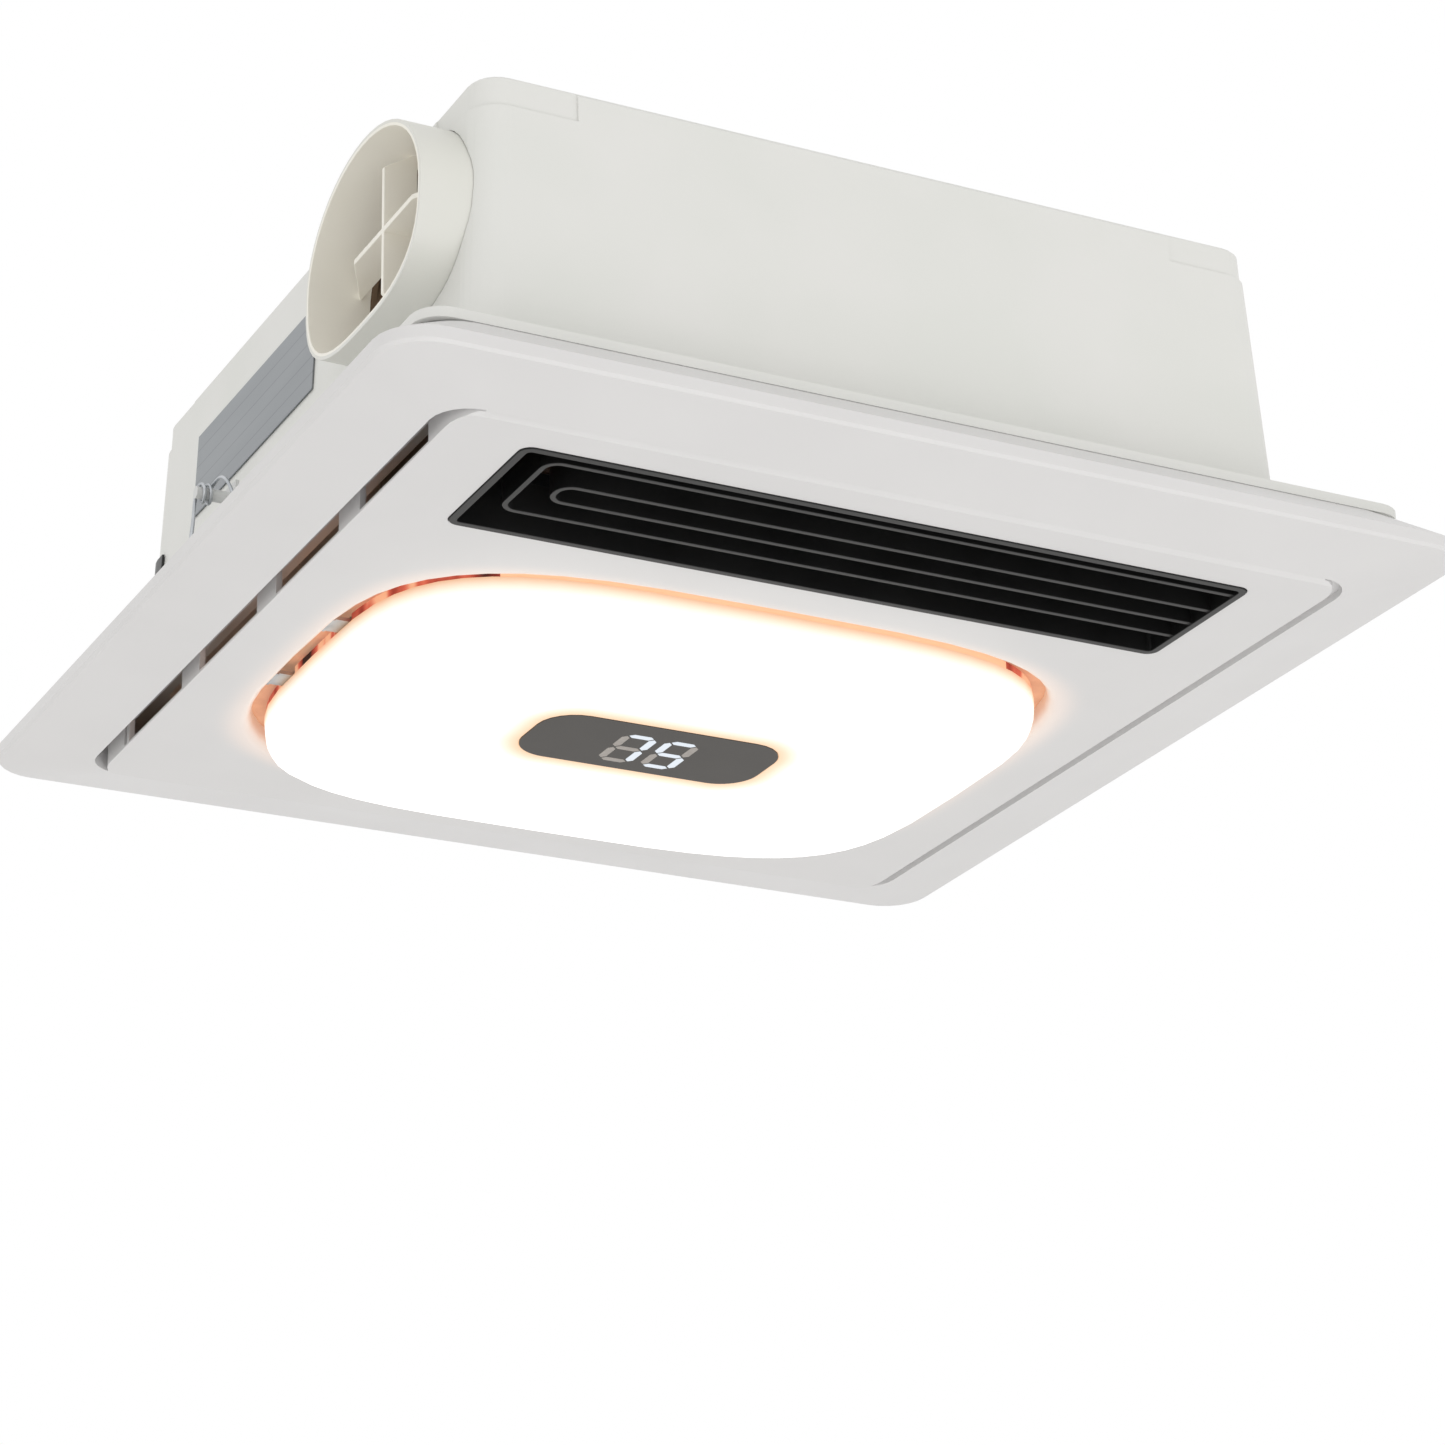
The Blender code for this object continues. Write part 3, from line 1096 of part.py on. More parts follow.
def make_impeller():
    low = SCROLL_LOW_Z + SCROLL_WALL + IMPELLER_END_CLEARANCE
    high = SCROLL_HIGH_Z - SCROLL_WALL - IMPELLER_END_CLEARANCE
    hub_low = high - HUB_LENGTH
    bore = SHAFT_RADIUS + GAP
    profile = [
        (bore, hub_low), (HUB_RADIUS, hub_low), (HUB_RADIUS, high - IMPELLER_BACK),
        (IMPELLER_INNER, high - IMPELLER_BACK), (IMPELLER_INNER, low), (IMPELLER_RADIUS, low),
        (IMPELLER_RADIUS, high), (bore, high),
    ]
    drum = turned(profile, (0.0, 0.0), FINE_ROUND_STEPS)
    wheel = add_object("impeller", drum, DARK_PLASTIC, (FAN_X, FAN_Y, 0.0))
    blade_pitch = FULL_TURN * IMPELLER_RADIUS / BLADE_COUNT
    gap_half = blade_pitch * (1.0 - BLADE_SHARE) / 2
    gaps = []
    for number in range(BLADE_COUNT):
        gap = box(
            (IMPELLER_INNER - OVERRUN, -gap_half, low + IMPELLER_RING),
            (IMPELLER_RADIUS + OVERRUN, gap_half, high - IMPELLER_BACK),
        )
        turn = Matrix.Rotation(FULL_TURN * number / BLADE_COUNT, 3, "Z")
        bmesh.ops.rotate(gap, verts=gap.verts, matrix=turn)
        gaps.append(gap)
    combine(wheel, merge_bmeshes(gaps))
    shaft_top = MOTOR_LOW_Z + SHAFT_IN_MOTOR
    shaft = rod(SHAFT_RADIUS, (0.0, 0.0, hub_low - GAP), (0.0, 0.0, shaft_top), SMALL_ROUND_STEPS)
    add_object("impeller_shaft", shaft, ZINC, (FAN_X, FAN_Y, 0.0))


def make_motor():
    motor = add_object(
        "fan_motor", rod(MOTOR_RADIUS, (FAN_X, FAN_Y, MOTOR_LOW_Z), (FAN_X, FAN_Y, MOTOR_HIGH_Z)), ZINC
    )
    bevel_edges(motor, MOTOR_BEVEL)
    well = rod(SHAFT_RADIUS + GAP, (FAN_X, FAN_Y, MOTOR_LOW_Z - OVERRUN),
               (FAN_X, FAN_Y, MOTOR_LOW_Z + SHAFT_IN_MOTOR + GAP), SMALL_ROUND_STEPS)
    combine(motor, well)
    outline = rounded_outline(MOTOR_PLATE_HALF, MOTOR_PLATE_HALF, MOTOR_PLATE_CORNER, (FAN_X, FAN_Y))
    add_object("motor_plate", plate(outline, MOTOR_HIGH_Z + GAP, HANG_Z), ZINC)


# Duct, heater and damper

def duct_outline(inset):
    left, right = DUCT_LEFT_X + inset, DUCT_RIGHT_X - inset
    near, middle, far = DUCT_NEAR_Y + inset, DUCT_MIDDLE_Y - inset, DUCT_FAR_Y - inset
    corner = DUCT_CHAMBER_RIGHT_X - inset
    return [(left, near), (right, near), (right, middle), (corner, middle), (corner, far), (left, far)]


def make_duct():
    duct = add_object("outlet_duct", plate(duct_outline(0.0), DUCT_LOW_Z, DUCT_HIGH_Z), BROWN_DUCT)
    combine(duct, plate(duct_outline(DUCT_WALL), DUCT_LOW_Z + DUCT_WALL, DUCT_HIGH_Z - DUCT_WALL))
    near = DUCT_NEAR_Y + DUCT_WALL
    combine(duct, oval_along_x(0.0, DUCT_LEFT_X - OVERRUN, DUCT_LEFT_X + OVERRUN))
    throat_left = FAN_X - SCROLL_END_RADIUS + SCROLL_WALL
    throat_right = THROAT_INNER_X - SCROLL_WALL
    from_scroll = box(
        (throat_left, DUCT_FAR_Y - OVERRUN, SCROLL_LOW_Z + SCROLL_WALL),
        (throat_right, DUCT_FAR_Y + OVERRUN, SCROLL_HIGH_Z - SCROLL_WALL),
    )
    combine(duct, from_scroll)
    to_heater = box(
        (-GRILLE_HALF_X + HEATER_FRAME_WALL, near, DUCT_LOW_Z - OVERRUN),
        (DUCT_RIGHT_X - HEATER_FRAME_WALL, DUCT_MIDDLE_Y - DUCT_WALL, DUCT_LOW_Z + OVERRUN),
    )
    combine(duct, to_heater)
    bearing = rod(
        DAMPER_SHAFT_RADIUS + GAP,
        (DAMPER_X, DUCT_NEAR_Y - OVERRUN, DAMPER_Z),
        (DAMPER_X, DUCT_FAR_Y + OVERRUN, DAMPER_Z),
        SMALL_ROUND_STEPS,
    )
    combine(duct, bearing)


def make_heater():
    x_half = GRILLE_HALF_X
    near, far = DUCT_NEAR_Y, DUCT_MIDDLE_Y
    frame = add_object(
        "heater_frame", box((-x_half, near, HEATER_LOW_Z), (x_half, far, HEATER_HIGH_Z)), BROWN_DUCT
    )
    wall = HEATER_FRAME_WALL
    combine(frame, box(
        (-x_half + wall, near + wall, HEATER_LOW_Z - OVERRUN),
        (x_half - wall, far - wall, HEATER_HIGH_Z + OVERRUN),
    ))
    inner_half = x_half - wall - GAP
    for number, (low_x, high_x) in enumerate(((-inner_half, -GAP / 2), (GAP / 2, inner_half)), start=1):
        make_element(f"heating_element_{number}", low_x, high_x, near + wall + GAP, far - wall - GAP)
    cutout = rod(
        CUTOUT_RADIUS,
        (CUTOUT_X, far + GAP, (HEATER_LOW_Z + HEATER_HIGH_Z) / 2),
        (CUTOUT_X, far + GAP + CUTOUT_HEIGHT, (HEATER_LOW_Z + HEATER_HIGH_Z) / 2),
        SMALL_ROUND_STEPS,
    )
    add_object("thermal_cutout", cutout, BLACK_PLASTIC)


def make_element(name, low_x, high_x, near, far):
    """An aluminium block of thin upright fins between two long rails."""
    low_z, high_z = ELEMENT_LOW_Z, ELEMENT_LOW_Z + ELEMENT_HEIGHT
    element = add_object(name, box((low_x, near, low_z), (high_x, far, high_z)), ALUMINIUM)
    inner_low, inner_high = low_x + ELEMENT_RAIL / 2, high_x - ELEMENT_RAIL / 2
    pitch = (inner_high - inner_low) / FIN_COUNT
    gap = pitch * FIN_GAP_SHARE
    middle = (near + far) / 2
    rows = (
        (near + ELEMENT_RAIL, middle - ELEMENT_RAIL / 2),
        (middle + ELEMENT_RAIL / 2, far - ELEMENT_RAIL),
    )
    gaps = []
    for number in range(FIN_COUNT):
        start = inner_low + pitch * number + (pitch - gap) / 2
        for y_low, y_high in rows:
            gaps.append(box((start, y_low, low_z - OVERRUN), (start + gap, y_high, high_z + OVERRUN)))
    combine(element, merge_bmeshes(gaps))


def make_damper():
    axis = bpy.data.objects.new("damper_axis", None)
    axis.location = (DAMPER_X, 0.0, DAMPER_Z)
    bpy.context.scene.collection.objects.link(axis)
    near = DUCT_NEAR_Y + DUCT_WALL + DAMPER_END_CLEARANCE
    far = DUCT_FAR_Y - DUCT_WALL - DAMPER_END_CLEARANCE
    sleeve = DAMPER_SHAFT_RADIUS + DAMPER_THICKNESS
    flap_bm = rod(sleeve, (0.0, near, 0.0), (0.0, far, 0.0), SMALL_ROUND_STEPS)
    flap = add_object("damper_flap", flap_bm, BLACK_PLASTIC)
    flap.parent = axis
    half = DAMPER_THICKNESS / 2
    combine(flap, box((0.0, near, -half), (DAMPER_LENGTH, far, half)), "UNION")
    ends = [(0.0, y, 0.0) for y in (near - OVERRUN, far + OVERRUN)]
    combine(flap, rod(DAMPER_SHAFT_RADIUS + GAP, *ends, SMALL_ROUND_STEPS))
    motor_face = DUCT_FAR_Y + GAP
    shaft_end = motor_face + DAMPER_MOTOR_LENGTH / 2
    shaft = rod(DAMPER_SHAFT_RADIUS, (0.0, DUCT_NEAR_Y, 0.0), (0.0, shaft_end, 0.0), SMALL_ROUND_STEPS)
    add_object("damper_shaft", shaft, ZINC).parent = axis
    centre_x, centre_z = DAMPER_X + DAMPER_MOTOR_SHIFT, DAMPER_Z - DAMPER_MOTOR_DROP
    body = rod(
        DAMPER_MOTOR_RADIUS,
        (centre_x, motor_face, centre_z),
        (centre_x, motor_face + DAMPER_MOTOR_LENGTH, centre_z),
    )
    motor = add_object("damper_motor", body, ZINC)
    combine(motor, rod(
        DAMPER_SHAFT_RADIUS + GAP,
        (DAMPER_X, motor_face - OVERRUN, DAMPER_Z),
        (DAMPER_X, shaft_end + GAP, DAMPER_Z),
        SMALL_ROUND_STEPS,
    ))


# Electrics

def make_control_box():
    base = add_object(
        "control_box_base", box((BOX_LEFT_X, BOX_NEAR_Y, BOX_SPLIT_Z), (BOX_RIGHT_X, BOX_FAR_Y, HANG_Z)), ZINC
    )
    wall = BOX_WALL
    combine(base, box(
        (BOX_LEFT_X + wall, BOX_NEAR_Y + wall, BOX_SPLIT_Z - OVERRUN),
        (BOX_RIGHT_X - wall, BOX_FAR_Y - wall, HANG_Z - wall),
    ))
    split = BOX_SPLIT_Z - GAP
    cover = add_object(
        "control_box_cover", box((BOX_LEFT_X, BOX_NEAR_Y, BOX_LOW_Z), (BOX_RIGHT_X, BOX_FAR_Y, split)), ZINC
    )
    combine(cover, box(
        (BOX_LEFT_X + wall, BOX_NEAR_Y + wall, BOX_LOW_Z + wall),
        (BOX_RIGHT_X - wall, BOX_FAR_Y - wall, split + OVERRUN),
    ))
    inset = wall + GAP
    add_object("control_board", box(
        (BOX_LEFT_X + inset, BOX_NEAR_Y + inset, BOARD_Z),
        (BOX_RIGHT_X - inset, BOX_FAR_Y - inset, BOARD_Z + BOARD_THICKNESS),
    ), BOARD_GREEN)
    middle = (BOX_LEFT_X + BOX_RIGHT_X) / 2
    make_block("transformer", TRANSFORMER_SIZE, (middle, TRANSFORMER_Y), BOARD_Z - GAP, COPPER_TAPE)
    for number in range(2):
        place = (middle, RELAY_Y + RELAY_PITCH * number)
        make_block(f"relay_{number + 1}", RELAY_SIZE, place, BOARD_Z - GAP, RELAY_BLUE)
    seat_z = BOX_LOW_Z - GAP
    screw_y = (BOX_NEAR_Y + COVER_SCREW_INSET, BOX_FAR_Y - COVER_SCREW_INSET)
    for number, y in enumerate(screw_y, start=1):
        screw = rod(
            COVER_SCREW_HEAD, (middle, y, seat_z - COVER_SCREW_LENGTH), (middle, y, seat_z), SMALL_ROUND_STEPS
        )
        add_object(f"cover_screw_{number}", screw, ZINC)


def make_block(name, size, place, top_z, look):
    """A box-shaped component that hangs with its top at a height."""
    width, depth, height = size
    low = (place[0] - width / 2, place[1] - depth / 2, top_z - height)
    high = (place[0] + width / 2, place[1] + depth / 2, top_z)
    block = add_object(name, box(low, high), look)
    bevel_edges(block, BOX_WALL / 2, 1)
    return block


def make_small_parts():
    ends = [(CAPACITOR_X, CAPACITOR_Y, z) for z in (HANG_Z - CAPACITOR_HEIGHT, HANG_Z)]
    capacitor = rod(CAPACITOR_RADIUS, *ends)
    add_object("motor_capacitor", capacitor, DARK_PLASTIC)
    width, depth, height = ION_SIZE
    make_block("ion_generator", ION_SIZE, (ION_X, DUCT_MIDDLE_Y + GAP + depth / 2), ION_Z, BLACK_PLASTIC)
    width, depth, height = TERMINAL_SIZE
    top = TERMINAL_Z + height / 2
    seat = wall_x(top) - SHELL_WALL - GAP
    make_block("terminal_block", TERMINAL_SIZE, (TERMINAL_X, seat - depth / 2), top, WHITE_HOUSING)


def build():
    clear_scene()
    make_front_panel()
    make_outlet_grille()
    make_lamp()
    make_lamp_bridges()
    make_springs()
    make_flange()
    make_shell()
    make_corner_pad()
    make_spigot()
    make_label()
    make_gland()
    make_scroll()
    make_inlet_ring()
    make_impeller()
    make_motor()
    make_duct()
    make_heater()
    make_damper()
    make_control_box()
    make_small_parts()


build()
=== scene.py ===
# %% [markdown]
# # A bathroom ceiling heater with a lamp, dressed as photographed
#
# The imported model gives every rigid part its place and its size. This lesson adds what a factory adds
# after the moulds and presses have run: finishes, light, small details and the glow of the lamp.
# Everything is in metres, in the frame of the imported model: z is 0 at the ceiling's own plane, the
# outlet grille lies towards -Y, and the exhaust spigot points to -X.

import json
import math

import bmesh
import bpy
from mathutils import Matrix, Vector


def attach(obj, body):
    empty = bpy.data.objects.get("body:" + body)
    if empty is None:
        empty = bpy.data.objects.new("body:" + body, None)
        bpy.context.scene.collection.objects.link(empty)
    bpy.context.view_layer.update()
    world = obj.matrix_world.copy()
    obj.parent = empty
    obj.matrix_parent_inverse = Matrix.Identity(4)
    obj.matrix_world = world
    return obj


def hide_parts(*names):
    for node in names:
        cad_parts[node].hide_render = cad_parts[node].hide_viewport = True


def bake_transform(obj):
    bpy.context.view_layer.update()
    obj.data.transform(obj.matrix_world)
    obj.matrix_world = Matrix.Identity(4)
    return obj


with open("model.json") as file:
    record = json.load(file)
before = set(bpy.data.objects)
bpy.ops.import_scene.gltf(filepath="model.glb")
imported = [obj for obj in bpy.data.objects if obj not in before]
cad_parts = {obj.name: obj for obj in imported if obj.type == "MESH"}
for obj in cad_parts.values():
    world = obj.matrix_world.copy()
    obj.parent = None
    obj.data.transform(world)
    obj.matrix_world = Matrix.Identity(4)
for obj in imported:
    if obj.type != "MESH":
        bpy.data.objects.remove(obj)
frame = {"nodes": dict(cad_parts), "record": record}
nodes = frame["nodes"]
slot_of = {row["node"]: row["material_slot"] for row in frame["record"]["subparts"]}
MM = 0.001
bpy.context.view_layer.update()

# %% [markdown]
# ## The camera
#
# The picture was taken from below and from the near left corner, with a long lens some 1.7 m away, so
# the edges run nearly parallel. Lens, place and turn come from lining up edges, corners and arcs of the
# panel, flange, shell, grille, lamp and spigot with the picture. The turn is built from three axes: where
# the camera looks, its right hand and its up. The last two are rolled by a degree or so, because the
# picture hangs slightly askew.

# %% Set the camera
YAW, PITCH, ROLL = math.radians(27.479), math.radians(21.856), math.radians(-1.297)
CAMERA_PLACE = Vector((-706.91, -1384.45, -670.88)) * MM
PICTURE_SIDE = 1445
FOCAL_PIXELS = 4155.8
SENSOR = 36.0
FARTHEST = 20.0


def camera_turn(yaw, pitch, roll):
    ahead = Vector((math.sin(yaw) * math.cos(pitch), math.cos(yaw) * math.cos(pitch), math.sin(pitch)))
    level = Vector((math.cos(yaw), -math.sin(yaw), 0.0))
    upward = level.cross(ahead)
    right = level * math.cos(roll) + upward * math.sin(roll)
    up = upward * math.cos(roll) - level * math.sin(roll)
    return Matrix((right, up, -ahead)).transposed().to_4x4()


camera_data = bpy.data.cameras.new("camera")
camera_data.sensor_width = SENSOR
camera_data.lens = FOCAL_PIXELS / PICTURE_SIDE * SENSOR
camera_data.clip_end = FARTHEST
camera = bpy.data.objects.new("camera", camera_data)
bpy.context.scene.collection.objects.link(camera)
camera.matrix_world = Matrix.Translation(CAMERA_PLACE) @ camera_turn(YAW, PITCH, ROLL)
bpy.context.scene.camera = camera
bpy.context.scene.view_settings.view_transform = "Standard"
print(f"lens {camera_data.lens:.1f} mm, {CAMERA_PLACE.length:.2f} m from the origin")

# %% [markdown]
# ## Helpers for materials
#
# Colours are written as they look on a screen, so they pass through the screen's curve once before the
# shader gets them. All node trees are wired by one function, which takes a node's kind, the values typed
# into it and the links that come in. A second one, built on it, does sums.

# %% Colour and node helpers


def linear(hex_colour):
    """A screen colour as the light it stands for."""
    channels = [int(hex_colour[place:place + 2], 16) / 255 for place in (1, 3, 5)]
    return tuple(c / 12.92 if c <= 0.04045 else ((c + 0.055) / 1.055) ** 2.4 for c in channels) + (1.0,)


def add_node(tree, kind, values=None, links=None, **settings):
    node = tree.nodes.new(f"ShaderNode{kind}")
    for name, setting in settings.items():
        setattr(node, name, setting)
    for socket, value in (values or {}).items():
        node.inputs[socket].default_value = value
    for socket, source in (links or {}).items():
        tree.links.new(source, node.inputs[socket])
    return node


def add_math(tree, operation, *terms):
    """One sum or comparison whose terms are numbers or sockets."""
    node = add_node(tree, "Math", operation=operation)
    for place, term in enumerate(terms):
        if isinstance(term, (int, float)):
            node.inputs[place].default_value = term
        else:
            tree.links.new(term, node.inputs[place])
    return node.outputs["Value"]


print("panel white as light:", tuple(round(c, 3) for c in linear("#dfdede")[:3]))

# %% [markdown]
# ## Moulded plastics
#
# ABS mouldings take their satin look from a spark-eroded mould: a fine random grain, a hundredth of a
# millimetre deep. The grain of a real mould is about 0.1 mm across, finer than a pixel here, so it is
# drawn at about a millimetre. A slow mottle of two near shades and of roughness stands for the way resin
# flows and cools, and it keeps wide faces from looking like paper.

# %% Plastic finishes
PLASTIC_ROUGHNESS_SPREAD = 0.05


def start_material(name, roughness, metallic=0.0):
    mat = bpy.data.materials.new(name)
    mat.use_nodes = True
    shader = mat.node_tree.nodes["Principled BSDF"]
    shader.inputs["Roughness"].default_value = roughness
    shader.inputs["Metallic"].default_value = metallic
    return mat, mat.node_tree, shader


def speckle(tree, size_mm, stretch=(1.0, 1.0, 1.0), detail=2.0):
    """Noise whose blots are about size_mm across, laid on the object itself."""
    place = add_node(tree, "TexCoord")
    scale = [share / (size_mm * MM) for share in stretch]
    scaled = add_node(tree, "Mapping", {"Scale": scale}, {"Vector": place.outputs["Object"]})
    spot = scaled.outputs["Vector"]
    return add_node(tree, "TexNoise", {"Scale": 1.0, "Detail": detail}, {"Vector": spot}).outputs["Fac"]


def value_between(tree, factor, low, high):
    """A plain number that runs from low to high as a socket runs from 0 to 1."""
    span = add_node(tree, "MapRange", {"To Min": low, "To Max": high}, {"Value": factor})
    return span.outputs["Result"]


def shade_between(tree, factor, first, second, low=0.35, high=0.65):
    ramp = add_node(tree, "ValToRGB", links={"Fac": factor})
    for stop, place, colour in zip(ramp.color_ramp.elements, (low, high), (first, second)):
        stop.position = place
        stop.color = linear(colour)
    return ramp.outputs["Color"]


def finish_surface(tree, shader, colour, roughness, height, depth_mm):
    tree.links.new(colour, shader.inputs["Base Color"])
    tree.links.new(roughness, shader.inputs["Roughness"])
    bump = add_node(tree, "Bump", {"Strength": 1.0, "Distance": depth_mm * MM}, {"Height": height})
    tree.links.new(bump.outputs["Normal"], shader.inputs["Normal"])


def moulded(name, colour, other, roughness, mottle_mm=60.0, grain_mm=1.0, depth_mm=0.012):
    """Injection moulded plastic in two near shades with a spark-eroded grain."""
    mat, tree, shader = start_material(name, roughness)
    mottle = speckle(tree, mottle_mm)
    base = shade_between(tree, mottle, colour, other)
    spread = PLASTIC_ROUGHNESS_SPREAD
    rough = value_between(tree, mottle, roughness - spread, roughness + spread)
    finish_surface(tree, shader, base, rough, speckle(tree, grain_mm), depth_mm)
    return mat


finishes = {
    "white_housing": moulded("ABS, injection moulded, off white", "#e6e6e3", "#e3e4e0", 0.46),
    "black_plastic": moulded(
        "ABS, injection moulded, black", "#121212", "#171717", 0.34,
        mottle_mm=30.0, grain_mm=0.8, depth_mm=0.02,
    ),
    "dark_plastic": moulded(
        "polyamide, injection moulded, dark grey", "#3a3835", "#33312f", 0.5,
        mottle_mm=25.0, grain_mm=1.2, depth_mm=0.03,
    ),
    "brown_plastic": moulded(
        "phenolic resin, pressed, brown", "#6b5243", "#58422f", 0.52,
        mottle_mm=18.0, grain_mm=1.5, depth_mm=0.04,
    ),
    "blue_plastic": moulded("PBT relay case, moulded, blue", "#2c5aa8", "#26509a", 0.4, mottle_mm=12.0),
}
print(f"{len(finishes)} plastics")

# %% [markdown]
# ## Metals
#
# Zinc leaves spangles on steel sheet, and rolling leaves long streaks in aluminium. One grain can give
# both: left as it is it makes spangles, and stretched along one axis it makes streaks. It drives shade,
# roughness and height alike, because on real sheet the three change together.

# %% Metal finishes
METAL_ROUGHNESS_SPREAD = 0.10
METAL_GRAIN_DETAIL = 4.0


def worked_metal(name, colour, other, roughness, grain_mm, stretch=(1.0, 1.0, 1.0), depth_mm=0.01):
    """Metal whose streaks or spangles run by the stretch of their grain."""
    mat, tree, shader = start_material(name, roughness, 1.0)
    grain = speckle(tree, grain_mm, stretch, METAL_GRAIN_DETAIL)
    base = shade_between(tree, grain, colour, other, 0.3, 0.7)
    spread = METAL_ROUGHNESS_SPREAD
    rough = value_between(tree, grain, roughness - spread, roughness + spread)
    finish_surface(tree, shader, base, rough, grain, depth_mm)
    return mat


finishes["zinc_steel"] = worked_metal("steel sheet, zinc plated", "#c4c7ca", "#adb1b5", 0.36, grain_mm=9.0)
finishes["aluminium"] = worked_metal(
    "aluminium, rolled", "#cfd1d3", "#bcbfc2", 0.34, grain_mm=2.5, stretch=(0.1, 1.0, 1.0),
)
print(f"{len(finishes)} finishes so far")

# %% [markdown]
# ## The glowing lamp cover
#
# An opal cover scatters the light of the diodes behind it, so its face looks evenly white. Towards its
# rim and round the display window the light has to travel further through the plastic, which takes out
# its blue: there the glow turns dimmer and peach. The cover glows by its own height above its lowest
# face and by its distance from the window's outline, a rectangle with round corners. Real light through
# a real cover would need many more samples, and would still have to be tuned to look like this.

# %% The opal finish
WINDOW_HALF = (53.8, 23.8)
WINDOW_CORNER = 16.2
LAMP_CENTRE_Y = 40.5
LAMP_FACE_Z = -44.5
LAMP_RIM_Z = -28.0
HALO_WIDTH = 12.0
RIM_GLOW = (
    (0.0, "#ffffff"), (0.55, "#fffefb"), (0.72, "#efe6dc"), (0.86, "#e2cbb3"), (1.0, "#cf9f78"),
)
WINDOW_GLOW = ((0.0, "#dba877"), (0.25, "#e2c09c"), (0.6, "#ecdfd0"), (1.0, "#ffffff"))
COVER_GLOW = 0.95
MIX_FIRST, MIX_SECOND, MIX_RESULT = 6, 7, 2


def object_axes(tree):
    place = add_node(tree, "TexCoord")
    return add_node(tree, "SeparateXYZ", links={"Vector": place.outputs["Object"]}).outputs


def glow_ramp(tree, factor, stops):
    ramp = add_node(tree, "ValToRGB", links={"Fac": factor})
    elements = ramp.color_ramp.elements
    while len(elements) < len(stops):
        elements.new(0.5)
    for element, (place, colour) in zip(elements, stops):
        element.position = place
        element.color = linear(colour)
    return ramp.outputs["Color"]


def from_lamp_centre(tree, axes):
    """Distances from the lamp's middle along x and y, without their signs."""
    offsets = (axes["X"], add_math(tree, "SUBTRACT", axes["Y"], LAMP_CENTRE_Y * MM))
    return [add_math(tree, "ABSOLUTE", offset) for offset in offsets]


def opal_cover():
    mat, tree, shader = start_material("PMMA, opal, lit from behind", 0.3)
    axes = object_axes(tree)
    height = add_node(
        tree, "MapRange",
        {"From Min": LAMP_FACE_Z * MM, "From Max": LAMP_RIM_Z * MM}, {"Value": axes["Z"]},
    )
    rim = glow_ramp(tree, height.outputs["Result"], RIM_GLOW)
    squares = []
    for distance, half in zip(from_lamp_centre(tree, axes), WINDOW_HALF):
        past = add_math(tree, "SUBTRACT", distance, (half - WINDOW_CORNER) * MM)
        squares.append(add_math(tree, "POWER", add_math(tree, "MAXIMUM", past, 0.0), 2.0))
    from_corner = add_math(tree, "SQRT", add_math(tree, "ADD", *squares))
    away = add_math(tree, "SUBTRACT", from_corner, WINDOW_CORNER * MM)
    halo = glow_ramp(tree, add_math(tree, "DIVIDE", away, HALO_WIDTH * MM), WINDOW_GLOW)
    glow = add_node(tree, "Mix", {"Factor": 1.0}, data_type="RGBA", blend_type="MULTIPLY")
    tree.links.new(rim, glow.inputs[MIX_FIRST])
    tree.links.new(halo, glow.inputs[MIX_SECOND])
    tree.links.new(glow.outputs[MIX_RESULT], shader.inputs["Emission Color"])
    shader.inputs["Emission Strength"].default_value = COVER_GLOW
    cloud = speckle(tree, 40.0)
    base = shade_between(tree, cloud, "#a29d95", "#9d988f")
    rough = value_between(tree, cloud, 0.26, 0.36)
    finish_surface(tree, shader, base, rough, speckle(tree, 3.0), depth_mm=0.004)
    return mat


finishes["opal_plastic"] = opal_cover()
print("halo", HALO_WIDTH, "mm wide round a window of", WINDOW_HALF)

# %% [markdown]
# ## The panel's white round the lamp
#
# The panel is a satin white moulding. Its field has a rolled edge round the lamp, which catches the
# lamp's warm light. The lamp's outline is a superellipse, and one sum tells about how far a point lies
# outside of it, so the field can shine by that distance. This follows the outline, needs no lamp of its
# own and adds no noise to the picture.

# %% The lit field's finish
LAMP_HALF = (148.5, 112.0)
LAMP_POWER = 3.9
FIELD_GLOW_FROM, FIELD_GLOW_TO = 4.0, 20.0
FIELD_GLOW = 0.19
FIELD_GLOW_FALL = 2.0


def add_glow(mat, colour, share, strength):
    """Lets a surface shine in one colour, as strongly as a socket between 0 and 1 says."""
    tree = mat.node_tree
    shader = tree.nodes["Principled BSDF"]
    shader.inputs["Emission Color"].default_value = linear(colour)
    tree.links.new(add_math(tree, "MULTIPLY", share, strength), shader.inputs["Emission Strength"])
    return mat


def lit_field():
    """The panel's white, warmed near the lamp."""
    mat = moulded("ABS, injection moulded, satin white, lit by the lamp", "#dfdede", "#dddcdc", 0.38)
    tree = mat.node_tree
    shares = []
    for distance, half in zip(from_lamp_centre(tree, object_axes(tree)), LAMP_HALF):
        share = add_math(tree, "DIVIDE", distance, half * MM)
        shares.append(add_math(tree, "POWER", share, LAMP_POWER))
    size_share = add_math(tree, "POWER", add_math(tree, "ADD", *shares), 1.0 / LAMP_POWER)
    outside = add_math(tree, "MULTIPLY", add_math(tree, "SUBTRACT", size_share, 1.0), LAMP_HALF[1])
    near = add_node(
        tree, "MapRange",
        {"From Min": FIELD_GLOW_FROM, "From Max": FIELD_GLOW_TO, "To Min": 1.0, "To Max": 0.0},
        {"Value": outside}, interpolation_type="SMOOTHERSTEP",
    )
    share = add_math(tree, "POWER", near.outputs["Result"], FIELD_GLOW_FALL)
    return add_glow(mat, "#ffc394", share, FIELD_GLOW)


finishes["white_panel"] = lit_field()
print("the field shines up to", FIELD_GLOW_TO, "mm from the lamp")

